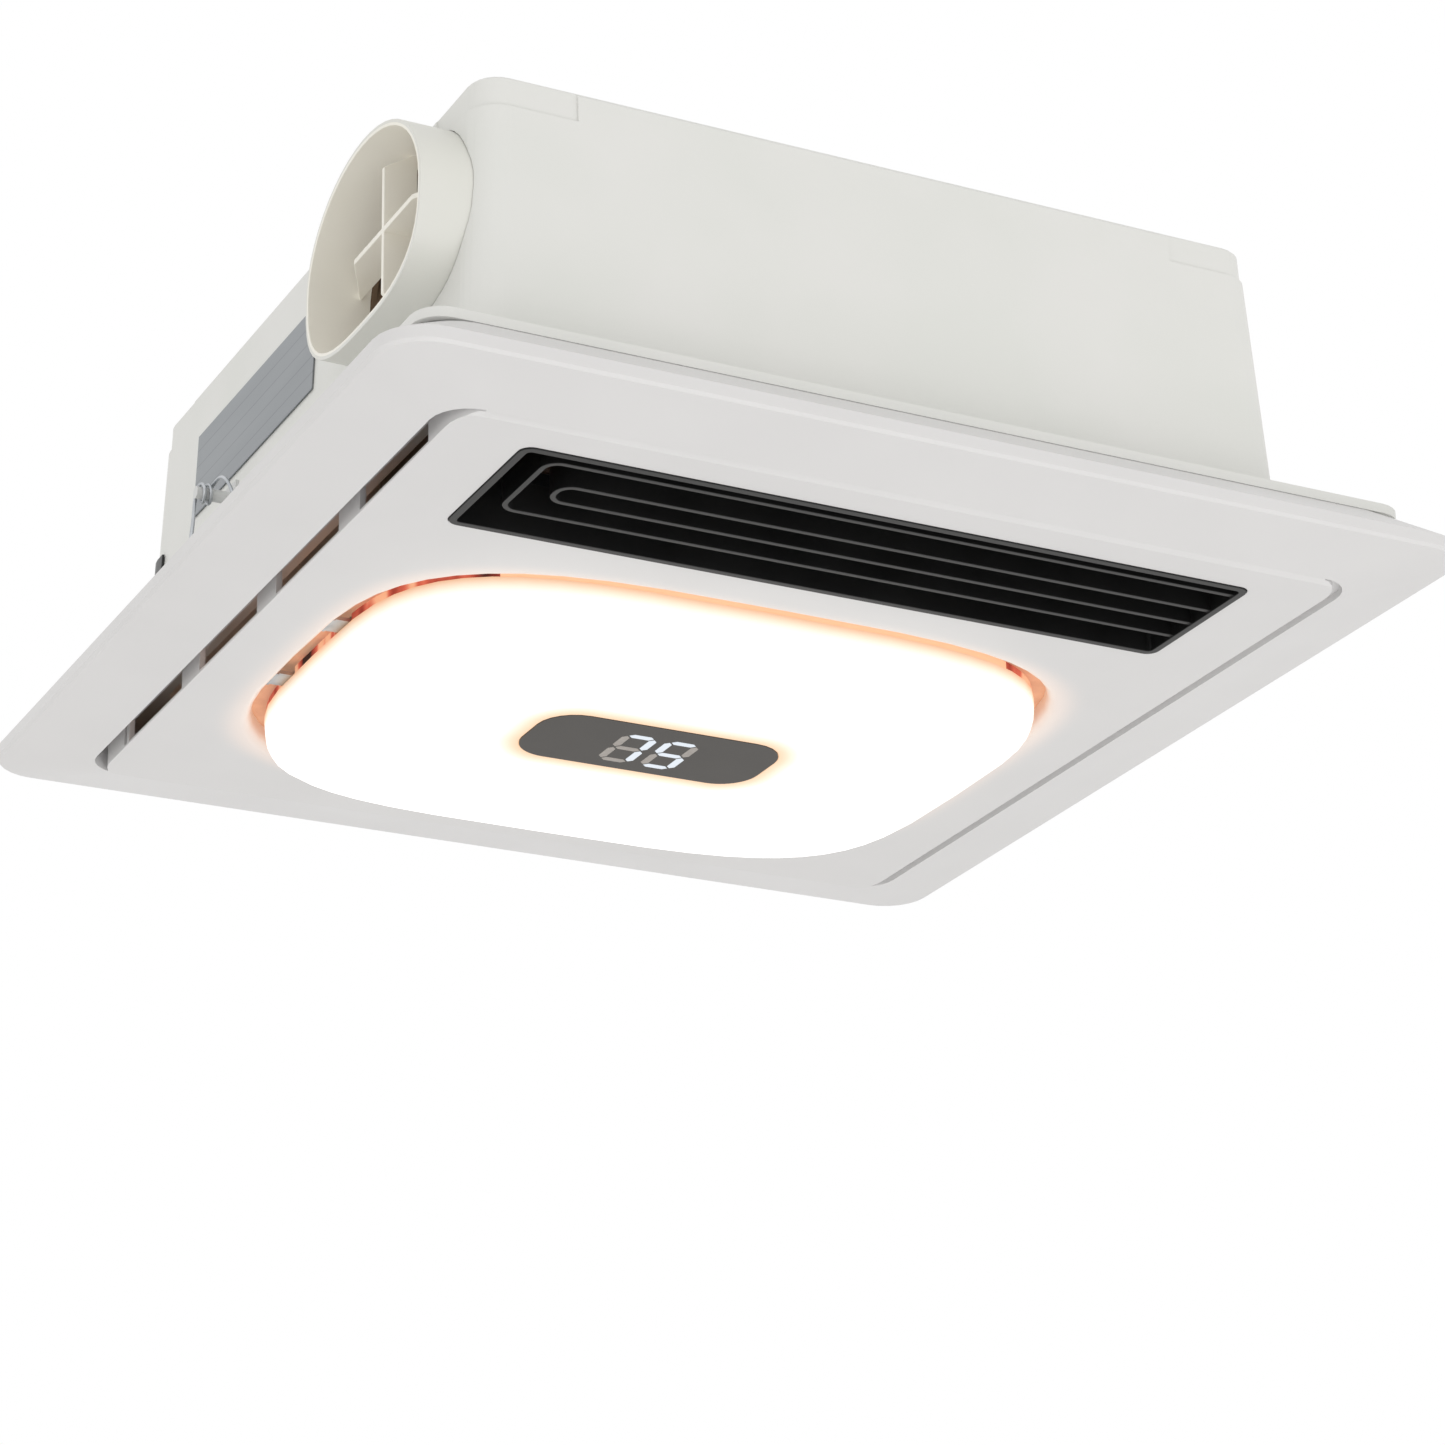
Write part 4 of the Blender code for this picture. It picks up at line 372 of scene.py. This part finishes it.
# %% [markdown]
# ## Smoked window, boards and label
#
# The window is smoked acrylic over the digits, lit a little from behind by stray light. The boards are
# laminates whose tracks show as a fine brick of lines. The label is silver film: on the real object it
# carries a maker's text, which stays off, so only plain ruled lines divide it.

# %% Finishes of window, boards and label
LABEL_LOW_Z, LABEL_HIGH_Z = 60.0, 98.0
LABEL_LINES = 5
LABEL_LINE_SHARE = 0.05
WINDOW_SHINE = 0.16
WINDOW_STRAY_LIGHT = 0.7


def smoked_window():
    mat, tree, shader = start_material("acrylic, smoked, polished", 0.16)
    cloud = speckle(tree, 15.0)
    base = shade_between(tree, cloud, "#302f2e", "#2d2c2b")
    shader.inputs["Specular IOR Level"].default_value = WINDOW_SHINE
    rough = value_between(tree, cloud, 0.14, 0.20)
    finish_surface(tree, shader, base, rough, speckle(tree, 6.0), depth_mm=0.002)
    shader.inputs["Emission Color"].default_value = linear("#3a3632")
    shader.inputs["Emission Strength"].default_value = WINDOW_STRAY_LIGHT
    return mat


def laminate(name, colour, track, pitch_mm):
    """Glass laminate with tracks under its lacquer."""
    mat, tree, shader = start_material(name, 0.42)
    place = add_node(tree, "TexCoord")
    scale = [1.0 / (pitch_mm * MM)] * 3
    scaled = add_node(tree, "Mapping", {"Scale": scale}, {"Vector": place.outputs["Object"]})
    bricks = add_node(
        tree, "TexBrick",
        {
            "Scale": 1.0, "Mortar Size": 0.06,
            "Color1": linear(colour), "Color2": linear(colour), "Mortar": linear(track),
        },
        {"Vector": scaled.outputs["Vector"]},
    )
    rough = value_between(tree, speckle(tree, 8.0), 0.36, 0.5)
    finish_surface(tree, shader, bricks.outputs["Color"], rough, bricks.outputs["Fac"], depth_mm=0.03)
    return mat


def label_film():
    mat, tree, shader = start_material("polyester film, silver, ruled", 0.42, 0.35)
    height = add_node(
        tree, "MapRange",
        {"From Min": LABEL_LOW_Z * MM, "From Max": LABEL_HIGH_Z * MM, "To Max": float(LABEL_LINES)},
        {"Value": object_axes(tree)["Z"]},
    )
    line = add_math(tree, "LESS_THAN", add_math(tree, "FRACT", height.outputs["Result"]), LABEL_LINE_SHARE)
    base = shade_between(tree, line, "#92969a", "#7b8084", 0.0, 1.0)
    mottle = speckle(tree, 12.0, (1.0, 0.2, 1.0))
    finish_surface(tree, shader, base, value_between(tree, mottle, 0.36, 0.5), mottle, depth_mm=0.01)
    return mat


finishes["smoked_plastic"] = smoked_window()
finishes["green_laminate"] = laminate("glass laminate, green lacquer", "#1f5a36", "#2f7a4c", pitch_mm=2.5)
finishes["white_laminate"] = laminate("glass laminate, white lacquer", "#e2e0d8", "#d0cdc2", pitch_mm=6.0)
finishes["yellow_tape"] = moulded(
    "polyester tape, wound, yellow", "#c9a43a", "#b8922f", 0.45, mottle_mm=8.0,
)
finishes["silver_label"] = label_film()
print(f"{len(finishes)} finishes so far")

# %% [markdown]
# ## The spigot
#
# The spigot is moulded of the housing's plastic. Inside its tube it looks creamy and light in the picture,
# and that light is painted in as a faint cream glow. Its oval has a lower half that is flatter and squarer
# than the upper one, so each half gets its own power and height. A chain of sums tells inside from
# outside, and only the inside gets the painted glow.

# %% The spigot's finish
SPIGOT_MIDDLE = (-108.5, 76.0)
SPIGOT_HALF_WIDTH = 54.6
SPIGOT_HALF_HEIGHTS = (41.1, 36.1)
SPIGOT_POWERS = (2.0, 2.9)
SPIGOT_PAINTED_LIGHT = 0.13


def spigot_plastic():
    """The housing's plastic, with painted light: a faint cream glow inside the tube."""
    mat = moulded("ABS, injection moulded, off white, thin", "#e6e6e1", "#e4e4dd", 0.46)
    tree = mat.node_tree
    axes = object_axes(tree)
    across = add_math(tree, "SUBTRACT", axes["Y"], SPIGOT_MIDDLE[0] * MM)
    height = add_math(tree, "SUBTRACT", axes["Z"], SPIGOT_MIDDLE[1] * MM)
    low = add_math(tree, "LESS_THAN", height, 0.0)
    power = value_between(tree, low, *SPIGOT_POWERS)
    half = value_between(tree, low, *(half_height * MM for half_height in SPIGOT_HALF_HEIGHTS))
    across_share = add_math(tree, "DIVIDE", add_math(tree, "ABSOLUTE", across), SPIGOT_HALF_WIDTH * MM)
    height_share = add_math(tree, "DIVIDE", add_math(tree, "ABSOLUTE", height), half)
    shares = [add_math(tree, "POWER", share, power) for share in (across_share, height_share)]
    inside = add_math(tree, "LESS_THAN", add_math(tree, "ADD", *shares), 1.0)
    # Painted light: the inside of the tube glows faintly cream.
    return add_glow(mat, "#fff0d6", inside, SPIGOT_PAINTED_LIGHT)


finishes["spigot_plastic"] = spigot_plastic()
print("the spigot shines inside an oval", 2 * SPIGOT_HALF_WIDTH, "mm wide")

# %% [markdown]
# ## Foam, duct and brackets
#
# The foam round the lamp is peach, because the lamp shines on it, and it has red and dark blots at the
# corners. The blots come from stretched noise, which is switched on only beyond a certain distance from
# the middle. The duct and its flap are brown, as they look behind the spigot's cross, and the springs'
# brackets are painted. A list names the nodes that wear another finish than their slot's own.

# %% Finishes of foam, duct and brackets
SEAL_BLOTS_FROM = 112.0
SEAL_GLOW = 0.30
SEAL_COLOURS = (
    (0.0, "#f3c8a4"), (0.42, "#eebb98"), (0.50, "#cf6a55"), (0.60, "#9c4034"), (0.72, "#2a1512"),
)
FOAM_UNDERSIDE_Z = -21.6
FOAM_PAINTED_LIGHT = 0.26


def seal_foam():
    """Foam lit peach by the lamp, with red and dark blots at the corners."""
    mat, tree, shader = start_material("PE foam strip, peach, mottled", 0.8)
    axes = object_axes(tree)
    corner = add_math(tree, "GREATER_THAN", add_math(tree, "ABSOLUTE", axes["X"]), SEAL_BLOTS_FROM * MM)
    blots = add_math(tree, "MULTIPLY", speckle(tree, 16.0, (1.0, 1.0, 0.3)), corner)
    base = glow_ramp(tree, blots, SEAL_COLOURS)
    rough = add_math(tree, "ADD", blots, 0.4)
    finish_surface(tree, shader, base, rough, speckle(tree, 1.0), depth_mm=0.05)
    tree.links.new(base, shader.inputs["Emission Color"])
    shader.inputs["Emission Strength"].default_value = SEAL_GLOW
    return mat


finishes["seal_foam"] = seal_foam()
open_foam = moulded(
    "PU foam, open cells, peach", "#e3b08c", "#d59f7b", 0.8, mottle_mm=10.0, grain_mm=1.5, depth_mm=0.08,
)
foam_tree = open_foam.node_tree
# Painted light: the ring's underside, which faces the lamp, shines peach as if lit by it; the top gets
# none.
underside = add_math(foam_tree, "LESS_THAN", object_axes(foam_tree)["Z"], FOAM_UNDERSIDE_Z * MM)
finishes["open_foam"] = add_glow(open_foam, "#f0c4a4", underside, FOAM_PAINTED_LIGHT)
finishes["duct_plastic"] = moulded(
    "polypropylene, glass filled, brown", "#8a745f", "#7d6753", 0.55,
    mottle_mm=25.0, grain_mm=1.2, depth_mm=0.03,
)
finishes["painted_steel"] = moulded(
    "steel sheet, powder coated white", "#dcdddc", "#d6d7d7", 0.5,
    mottle_mm=12.0, grain_mm=0.8, depth_mm=0.02,
)
own_finish = {
    "exhaust_spigot": "spigot_plastic",
    "spring_bracket_left": "painted_steel", "spring_bracket_right": "painted_steel",
    "outlet_duct": "duct_plastic", "damper_flap": "brown_plastic",
}
for name, node in nodes.items():
    node.data.materials.clear()
    node.data.materials.append(finishes[own_finish.get(name, slot_of[name])])
print(f"{len(finishes)} finishes on {len(nodes)} nodes")

# %% [markdown]
# ## Dressed copies of the pieces that show
#
# A moulding has no knife edge: the mould's own corners leave each edge with a radius of a few tenths of
# a millimetre, and that radius is what catches the light. Each node in the list below gets a copy whose
# triangles are joined into whole faces, whose sharp edges are rounded, and whose broad faces shade
# smoothly.

# %% Round the edges
SHARP_ANGLE = math.radians(28.0)
CREASE_ANGLE = math.radians(40.0)
FLAT_ANGLE = math.radians(0.6)
WELD_DISTANCE = 0.002
EDGE_SEGMENTS = 2


def add_piece(name, bm, body, slot, *replaced):
    """Makes an object of a bmesh, puts it on its body and gives it the finish of its slot, or its node's
    own finish.
    """
    bmesh.ops.recalc_face_normals(bm, faces=bm.faces[:])
    mesh = bpy.data.meshes.new(name)
    bm.to_mesh(mesh)
    bm.free()
    mesh.shade_smooth()
    mesh.set_sharp_from_angle(angle=CREASE_ANGLE)
    finish = own_finish.get(replaced[0], slot) if replaced else slot
    mesh.materials.append(finishes[finish])
    piece = bpy.data.objects.new(name, mesh)
    bpy.context.scene.collection.objects.link(piece)
    if body:
        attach(piece, body)
    if replaced:
        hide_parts(*replaced)
    return piece


def whole_faces(node_name):
    bm = bmesh.new()
    bm.from_mesh(nodes[node_name].data)
    bmesh.ops.remove_doubles(bm, verts=bm.verts[:], dist=WELD_DISTANCE * MM)
    bmesh.ops.dissolve_limit(bm, angle_limit=FLAT_ANGLE, verts=bm.verts[:], edges=bm.edges[:])
    return bm


def dress(node_name, body, radius_mm):
    bm = whole_faces(node_name)
    sharp = [e for e in bm.edges if len(e.link_faces) == 2 and e.calc_face_angle() > SHARP_ANGLE]
    bmesh.ops.bevel(
        bm, geom=sharp, offset=radius_mm * MM, segments=EDGE_SEGMENTS, profile=0.5, affect="EDGES",
        clamp_overlap=True, material=-1,
    )
    piece = add_piece(f"{node_name}_dressed", bm, body, slot_of[node_name], node_name)
    shading = piece.modifiers.new("weighted normals", "WEIGHTED_NORMAL")
    shading.keep_sharp = True
    return piece


for node_name, body, radius_mm in (
    ("front_panel", "panel", 0.35),
    ("outlet_grille", "panel", 0.25),
    ("lamp_diffuser", "panel", 0.20),
    ("housing_shell", "housing", 0.40),
    ("mounting_flange", "housing", 0.40),
    ("exhaust_spigot", "housing", 0.35),
    ("corner_pad", "housing", 0.20),
    ("rating_label", "housing", 0.08),
    ("gland_nut", "housing", 0.40),
    ("control_box_cover", "housing", 0.30),
):
    piece = dress(node_name, body, radius_mm)
    print(f"{node_name}: {len(piece.data.polygons)} faces")

# %% [markdown]
# ## The display window
#
# The window is a flat plate with round corners, pressed into the middle of the lamp's cover. An outline
# drawn point by point and extruded makes it in two steps, with corners as round as wanted.

# %% The window
WINDOW_LOW_Z, WINDOW_HIGH_Z = -44.65, -42.5
CORNER_STEPS = 12


def extrude_outline(bm, outline, low_mm, high_mm):
    """A flat plate between two heights, all in millimetres."""
    face = bm.faces.new([bm.verts.new((x * MM, y * MM, low_mm * MM)) for x, y in outline])
    raised = bmesh.ops.extrude_face_region(bm, geom=[face])["geom"]
    lifted = [v for v in raised if isinstance(v, bmesh.types.BMVert)]
    bmesh.ops.translate(bm, vec=(0.0, 0.0, (high_mm - low_mm) * MM), verts=lifted)


def rounded_rectangle(half_x, half_y, radius, centre_y):
    outline = []
    for quarter, (side_x, side_y) in enumerate(((1, 1), (-1, 1), (-1, -1), (1, -1))):
        for step in range(CORNER_STEPS + 1):
            angle = math.pi / 2 * (quarter + step / CORNER_STEPS)
            x = side_x * (half_x - radius) + radius * math.cos(angle)
            outline.append((x, centre_y + side_y * (half_y - radius) + radius * math.sin(angle)))
    return outline


bm = bmesh.new()
window = rounded_rectangle(*WINDOW_HALF, WINDOW_CORNER, LAMP_CENTRE_Y)
extrude_outline(bm, window, WINDOW_LOW_Z, WINDOW_HIGH_Z)
add_piece("display_window_smoked", bm, "panel", "smoked_plastic", "display_window")
print("window outline of", len(window), "points")

# %% [markdown]
# ## The digits
#
# Two seven-segment digits show through the smoked window and read seventy-five. Each segment is a
# mitred bar of a light guide. Lit bars are bluish white; the others stay grey, and still show because
# stray light from the lamp reaches them. The bars lie a twentieth of a millimetre proud of the window,
# because behind it they would show only if the window let rays through, which costs samples.

# %% Lay the digits
DIGIT_WIDTH, DIGIT_HEIGHT = 12.2, 26.8
DIGIT_PITCH = 19.2
DIGITS_MIDDLE = (0.5, 42.3)
BAR = 3.4
BAR_GAP = 0.6
BAR_LOW_Z, BAR_HIGH_Z = -44.70, -44.60
SEGMENTS = {
    "top": ((-0.5, -0.5), (0.5, -0.5)), "middle": ((-0.5, 0.0), (0.5, 0.0)),
    "bottom": ((-0.5, 0.5), (0.5, 0.5)),
    "left_upper": ((-0.5, -0.5), (-0.5, 0.0)), "left_lower": ((-0.5, 0.0), (-0.5, 0.5)),
    "right_upper": ((0.5, -0.5), (0.5, 0.0)), "right_lower": ((0.5, 0.0), (0.5, 0.5)),
}
LIT = (
    ("top", "right_upper", "right_lower"),
    ("top", "left_upper", "middle", "right_lower", "bottom"),
)


def bar_outline(start, end):
    """A bar with pointed ends between two corners of the figure."""
    start, end = Vector(start), Vector(end)
    along = (end - start).normalized()
    start, end = start + along * BAR_GAP, end - along * BAR_GAP
    side = Vector((-along.y, along.x)) * BAR / 2
    point = along * BAR / 2
    near, far = start + point, end - point
    corners = (start, near + side, far + side, end, far - side, near - side)
    return [(corner.x, corner.y) for corner in corners]


def light_guide(name, colour, other, glow, strength):
    mat, tree, shader = start_material(name, 0.4)
    cloud = speckle(tree, 3.0)
    base = shade_between(tree, cloud, colour, other)
    finish_surface(tree, shader, base, value_between(tree, cloud, 0.35, 0.5), cloud, depth_mm=0.002)
    shader.inputs["Emission Color"].default_value = linear(glow)
    shader.inputs["Emission Strength"].default_value = strength
    return mat


guides = {"lit": bmesh.new(), "dark": bmesh.new()}
for digit, lit_names in enumerate(LIT):
    middle = DIGITS_MIDDLE[0] + DIGIT_PITCH * (digit - 0.5)
    for segment, ends in SEGMENTS.items():
        places = [(middle + x * DIGIT_WIDTH, DIGITS_MIDDLE[1] + y * DIGIT_HEIGHT) for x, y in ends]
        guide = guides["lit" if segment in lit_names else "dark"]
        extrude_outline(guide, bar_outline(*places), BAR_LOW_Z, BAR_HIGH_Z)
guide_looks = (
    ("lit", "#74787c", "#6f7377", "#dde5ee", 0.85),
    ("dark", "#85807b", "#7c7773", "#8f8983", 0.50),
)
for state, colour, other, glow, strength in guide_looks:
    bars = add_piece(f"digit_bars_{state}", guides[state], "panel", "opal_plastic")
    bars.data.materials[0] = light_guide(f"PMMA light guide, {state}", colour, other, glow, strength)
print("digits", DIGIT_WIDTH, "by", DIGIT_HEIGHT, "mm")

# %% [markdown]
# ## The seal round the lamp
#
# Warm light shows in the narrow gap round the lamp, with some red and dark bits at the corners. What
# they belong to can't be made out, so foam stands for it, as it might keep insects out. A strip follows
# the lamp's outline in four lengths, because two steel bridges cross the rim on either side. Above the
# strips a ring of open foam lies over the whole gap: air passes through it, and sight doesn't. Both are
# laid point by point round the lamp's own curve, so they keep to the gap at every corner.

# %% Lay the seal in four lengths
SEAL_INSETS = (0.6, 5.0)
SEAL_LOW_Z, SEAL_HIGH_Z = -27.4, -24.2
RING_INSETS = (-8.0, 4.0)
RING_LOW_Z, RING_HIGH_Z = -21.7, -19.7
SEAL_STEPS = 240
BRIDGE_MIDDLES = (10.5, 70.5)
BRIDGE_KEEP_OFF = 7


def lamp_point(angle, inset):
    """A point of the lamp's outline in millimetres, moved inwards."""
    half_x, half_y = LAMP_HALF[0] - inset, LAMP_HALF[1] - inset
    shares = (math.cos(angle) / half_x, math.sin(angle) / half_y)
    radius = sum(abs(share) ** LAMP_POWER for share in shares) ** (-1.0 / LAMP_POWER)
    return radius * math.cos(angle), radius * math.sin(angle) + LAMP_CENTRE_Y


def seal_strip(bm, angles, insets, heights, closed=False):
    """A strip of four long faces, closed by two ends or into a ring."""
    (outer, inner), (low_z, high_z) = insets, heights
    corners = ((outer, low_z), (outer, high_z), (inner, high_z), (inner, low_z))
    rings = []
    for angle in angles:
        ring = []
        for inset, z in corners:
            x, y = lamp_point(angle, inset)
            ring.append(bm.verts.new((x * MM, y * MM, z * MM)))
        rings.append(ring)
    for ring, following in zip(rings, rings[1:] + rings[:1] if closed else rings[1:]):
        for side in range(4):
            other = (side + 1) % 4
            bm.faces.new((ring[side], ring[other], following[other], following[side]))
    if not closed:
        bm.faces.new(rings[0])
        bm.faces.new(reversed(rings[-1]))


def crosses_bridge(angle):
    y = lamp_point(angle, SEAL_INSETS[0])[1]
    return any(abs(y - middle) < BRIDGE_KEEP_OFF for middle in BRIDGE_MIDDLES)


angles = [math.tau * (step + 0.5) / SEAL_STEPS - math.pi / 2 for step in range(SEAL_STEPS)]
runs = [[]]
for angle in angles:
    if crosses_bridge(angle):
        if runs[-1]:
            runs.append([])
    else:
        runs[-1].append(angle)
runs = [run for run in runs if run]
runs[0] = [angle - math.tau for angle in runs.pop()] + runs[0]
seal = bmesh.new()
for run in runs:
    seal_strip(seal, run, SEAL_INSETS, (SEAL_LOW_Z, SEAL_HIGH_Z))
add_piece("lamp_seal", seal, "panel", "seal_foam")
ring = bmesh.new()
seal_strip(ring, angles, RING_INSETS, (RING_LOW_Z, RING_HIGH_Z), closed=True)
add_piece("lamp_seal_ring", ring, "panel", "open_foam")
print("seal in", len(runs), "lengths")

# %% [markdown]
# ## The panel's springs
#
# A spring is one bent wire: a small coil on the bracket's peg, and two legs that spread down to the
# hooks on the panel. On the heater itself the legs straighten when the panel is pulled down. The copies
# of the springs are only smoothed.

for name, side in (("panel_spring_left", -1), ("panel_spring_right", 1)):
    spring = add_piece(f"{name}_wire", whole_faces(name), None, "zinc_steel", name)
    spring.modifiers.new("round wire", "SUBSURF").levels = 1
    spring.modifiers["round wire"].render_levels = 1
    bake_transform(spring)

# %% [markdown]
# ## Floor and sky
#
# The picture was cut out on pure white. Rays that leave the camera, or that shine off or through a
# surface, meet a white sky of strength 1, while the sky that lights the object is dimmer. A pale floor
# lies at a room's depth below and takes the object's shadow. For a ray straight from the camera it also
# shines a little, which brings it to white and lights nothing.

# %% Floor and sky
FLOOR_Z = -2.4
FLOOR_SIDE = 24.0
FLOOR_LIFT = 0.22
SKY_STRENGTH = 0.80

floor_mesh = bmesh.new()
bmesh.ops.create_grid(floor_mesh, x_segments=1, y_segments=1, size=FLOOR_SIDE / 2)
bmesh.ops.translate(floor_mesh, vec=(0.0, 0.0, FLOOR_Z), verts=floor_mesh.verts)
mesh = bpy.data.meshes.new("floor")
floor_mesh.to_mesh(mesh)
floor_mesh.free()
floor_paint = moulded("floor, painted white", "#fafafa", "#f6f6f6", 0.8, mottle_mm=400.0)
straight = add_node(floor_paint.node_tree, "LightPath").outputs["Is Camera Ray"]
mesh.materials.append(add_glow(floor_paint, "#ffffff", straight, FLOOR_LIFT))
floor = bpy.data.objects.new("floor", mesh)
bpy.context.scene.collection.objects.link(floor)

world = bpy.data.worlds.new("white room")
bpy.context.scene.world = world
world.use_nodes = True
sky = world.node_tree
sky.nodes.clear()
path = add_node(sky, "LightPath")
seen = add_math(
    sky, "MAXIMUM", path.outputs["Is Camera Ray"],
    add_math(sky, "MAXIMUM", path.outputs["Is Glossy Ray"], path.outputs["Is Transmission Ray"]),
)
lighting = add_node(sky, "Background", {"Color": linear("#fffefc"), "Strength": SKY_STRENGTH})
backdrop = add_node(sky, "Background", {"Color": linear("#ffffff"), "Strength": 1.0})
mixed = add_node(sky, "MixShader", links={0: seen, 1: lighting.outputs[0], 2: backdrop.outputs[0]})
add_node(sky, "OutputWorld", links={"Surface": mixed.outputs[0]})
print("floor", FLOOR_SIDE, "m wide,", -FLOOR_Z, "m below the ceiling")

# %% [markdown]
# ## Lamps
#
# A broad, soft lamp near the floor in front lights the near wall and the panel's underside, as the
# even light in the picture does. A weaker one at the left lifts the left wall, which stays a little
# darker. A bulb of a few hundredths of a watt inside the housing stands for the light that leaks up past
# the lamp, and turns the inside behind the slots brown instead of black.

# %% Lamps
SOFTBOXES = (
    ("key softbox", (0.3, -2.2, -1.9), 2.4, 25.0),
    ("side softbox", (-2.6, -0.7, -0.5), 1.6, 5.0),
)
LEAK_PLACE = (-0.132, 0.0, 0.012)
LEAK_WATTS = 0.035
LEAK_RADIUS = 0.004


def add_softbox(name, place, width, watts):
    """A round area lamp that faces the object."""
    light = bpy.data.lights.new(name, "AREA")
    light.shape = "DISK"
    light.size = width
    light.energy = watts
    lamp = bpy.data.objects.new(name, light)
    lamp.location = place
    lamp.rotation_euler = (-Vector(place)).to_track_quat("-Z", "Y").to_euler()
    bpy.context.scene.collection.objects.link(lamp)
    print(name, watts, "W,", round(Vector(place).length, 2), "m away")


for softbox in SOFTBOXES:
    add_softbox(*softbox)
leak = bpy.data.lights.new("light past the lamp", "POINT")
leak.energy = LEAK_WATTS
leak.shadow_soft_size = LEAK_RADIUS
leak.color = linear("#ffcfb4")[:3]
leak_lamp = bpy.data.objects.new("light past the lamp", leak)
leak_lamp.location = LEAK_PLACE
leak_lamp.visible_camera = False
bpy.context.scene.collection.objects.link(leak_lamp)
print("bulb of", LEAK_WATTS, "W inside the housing")
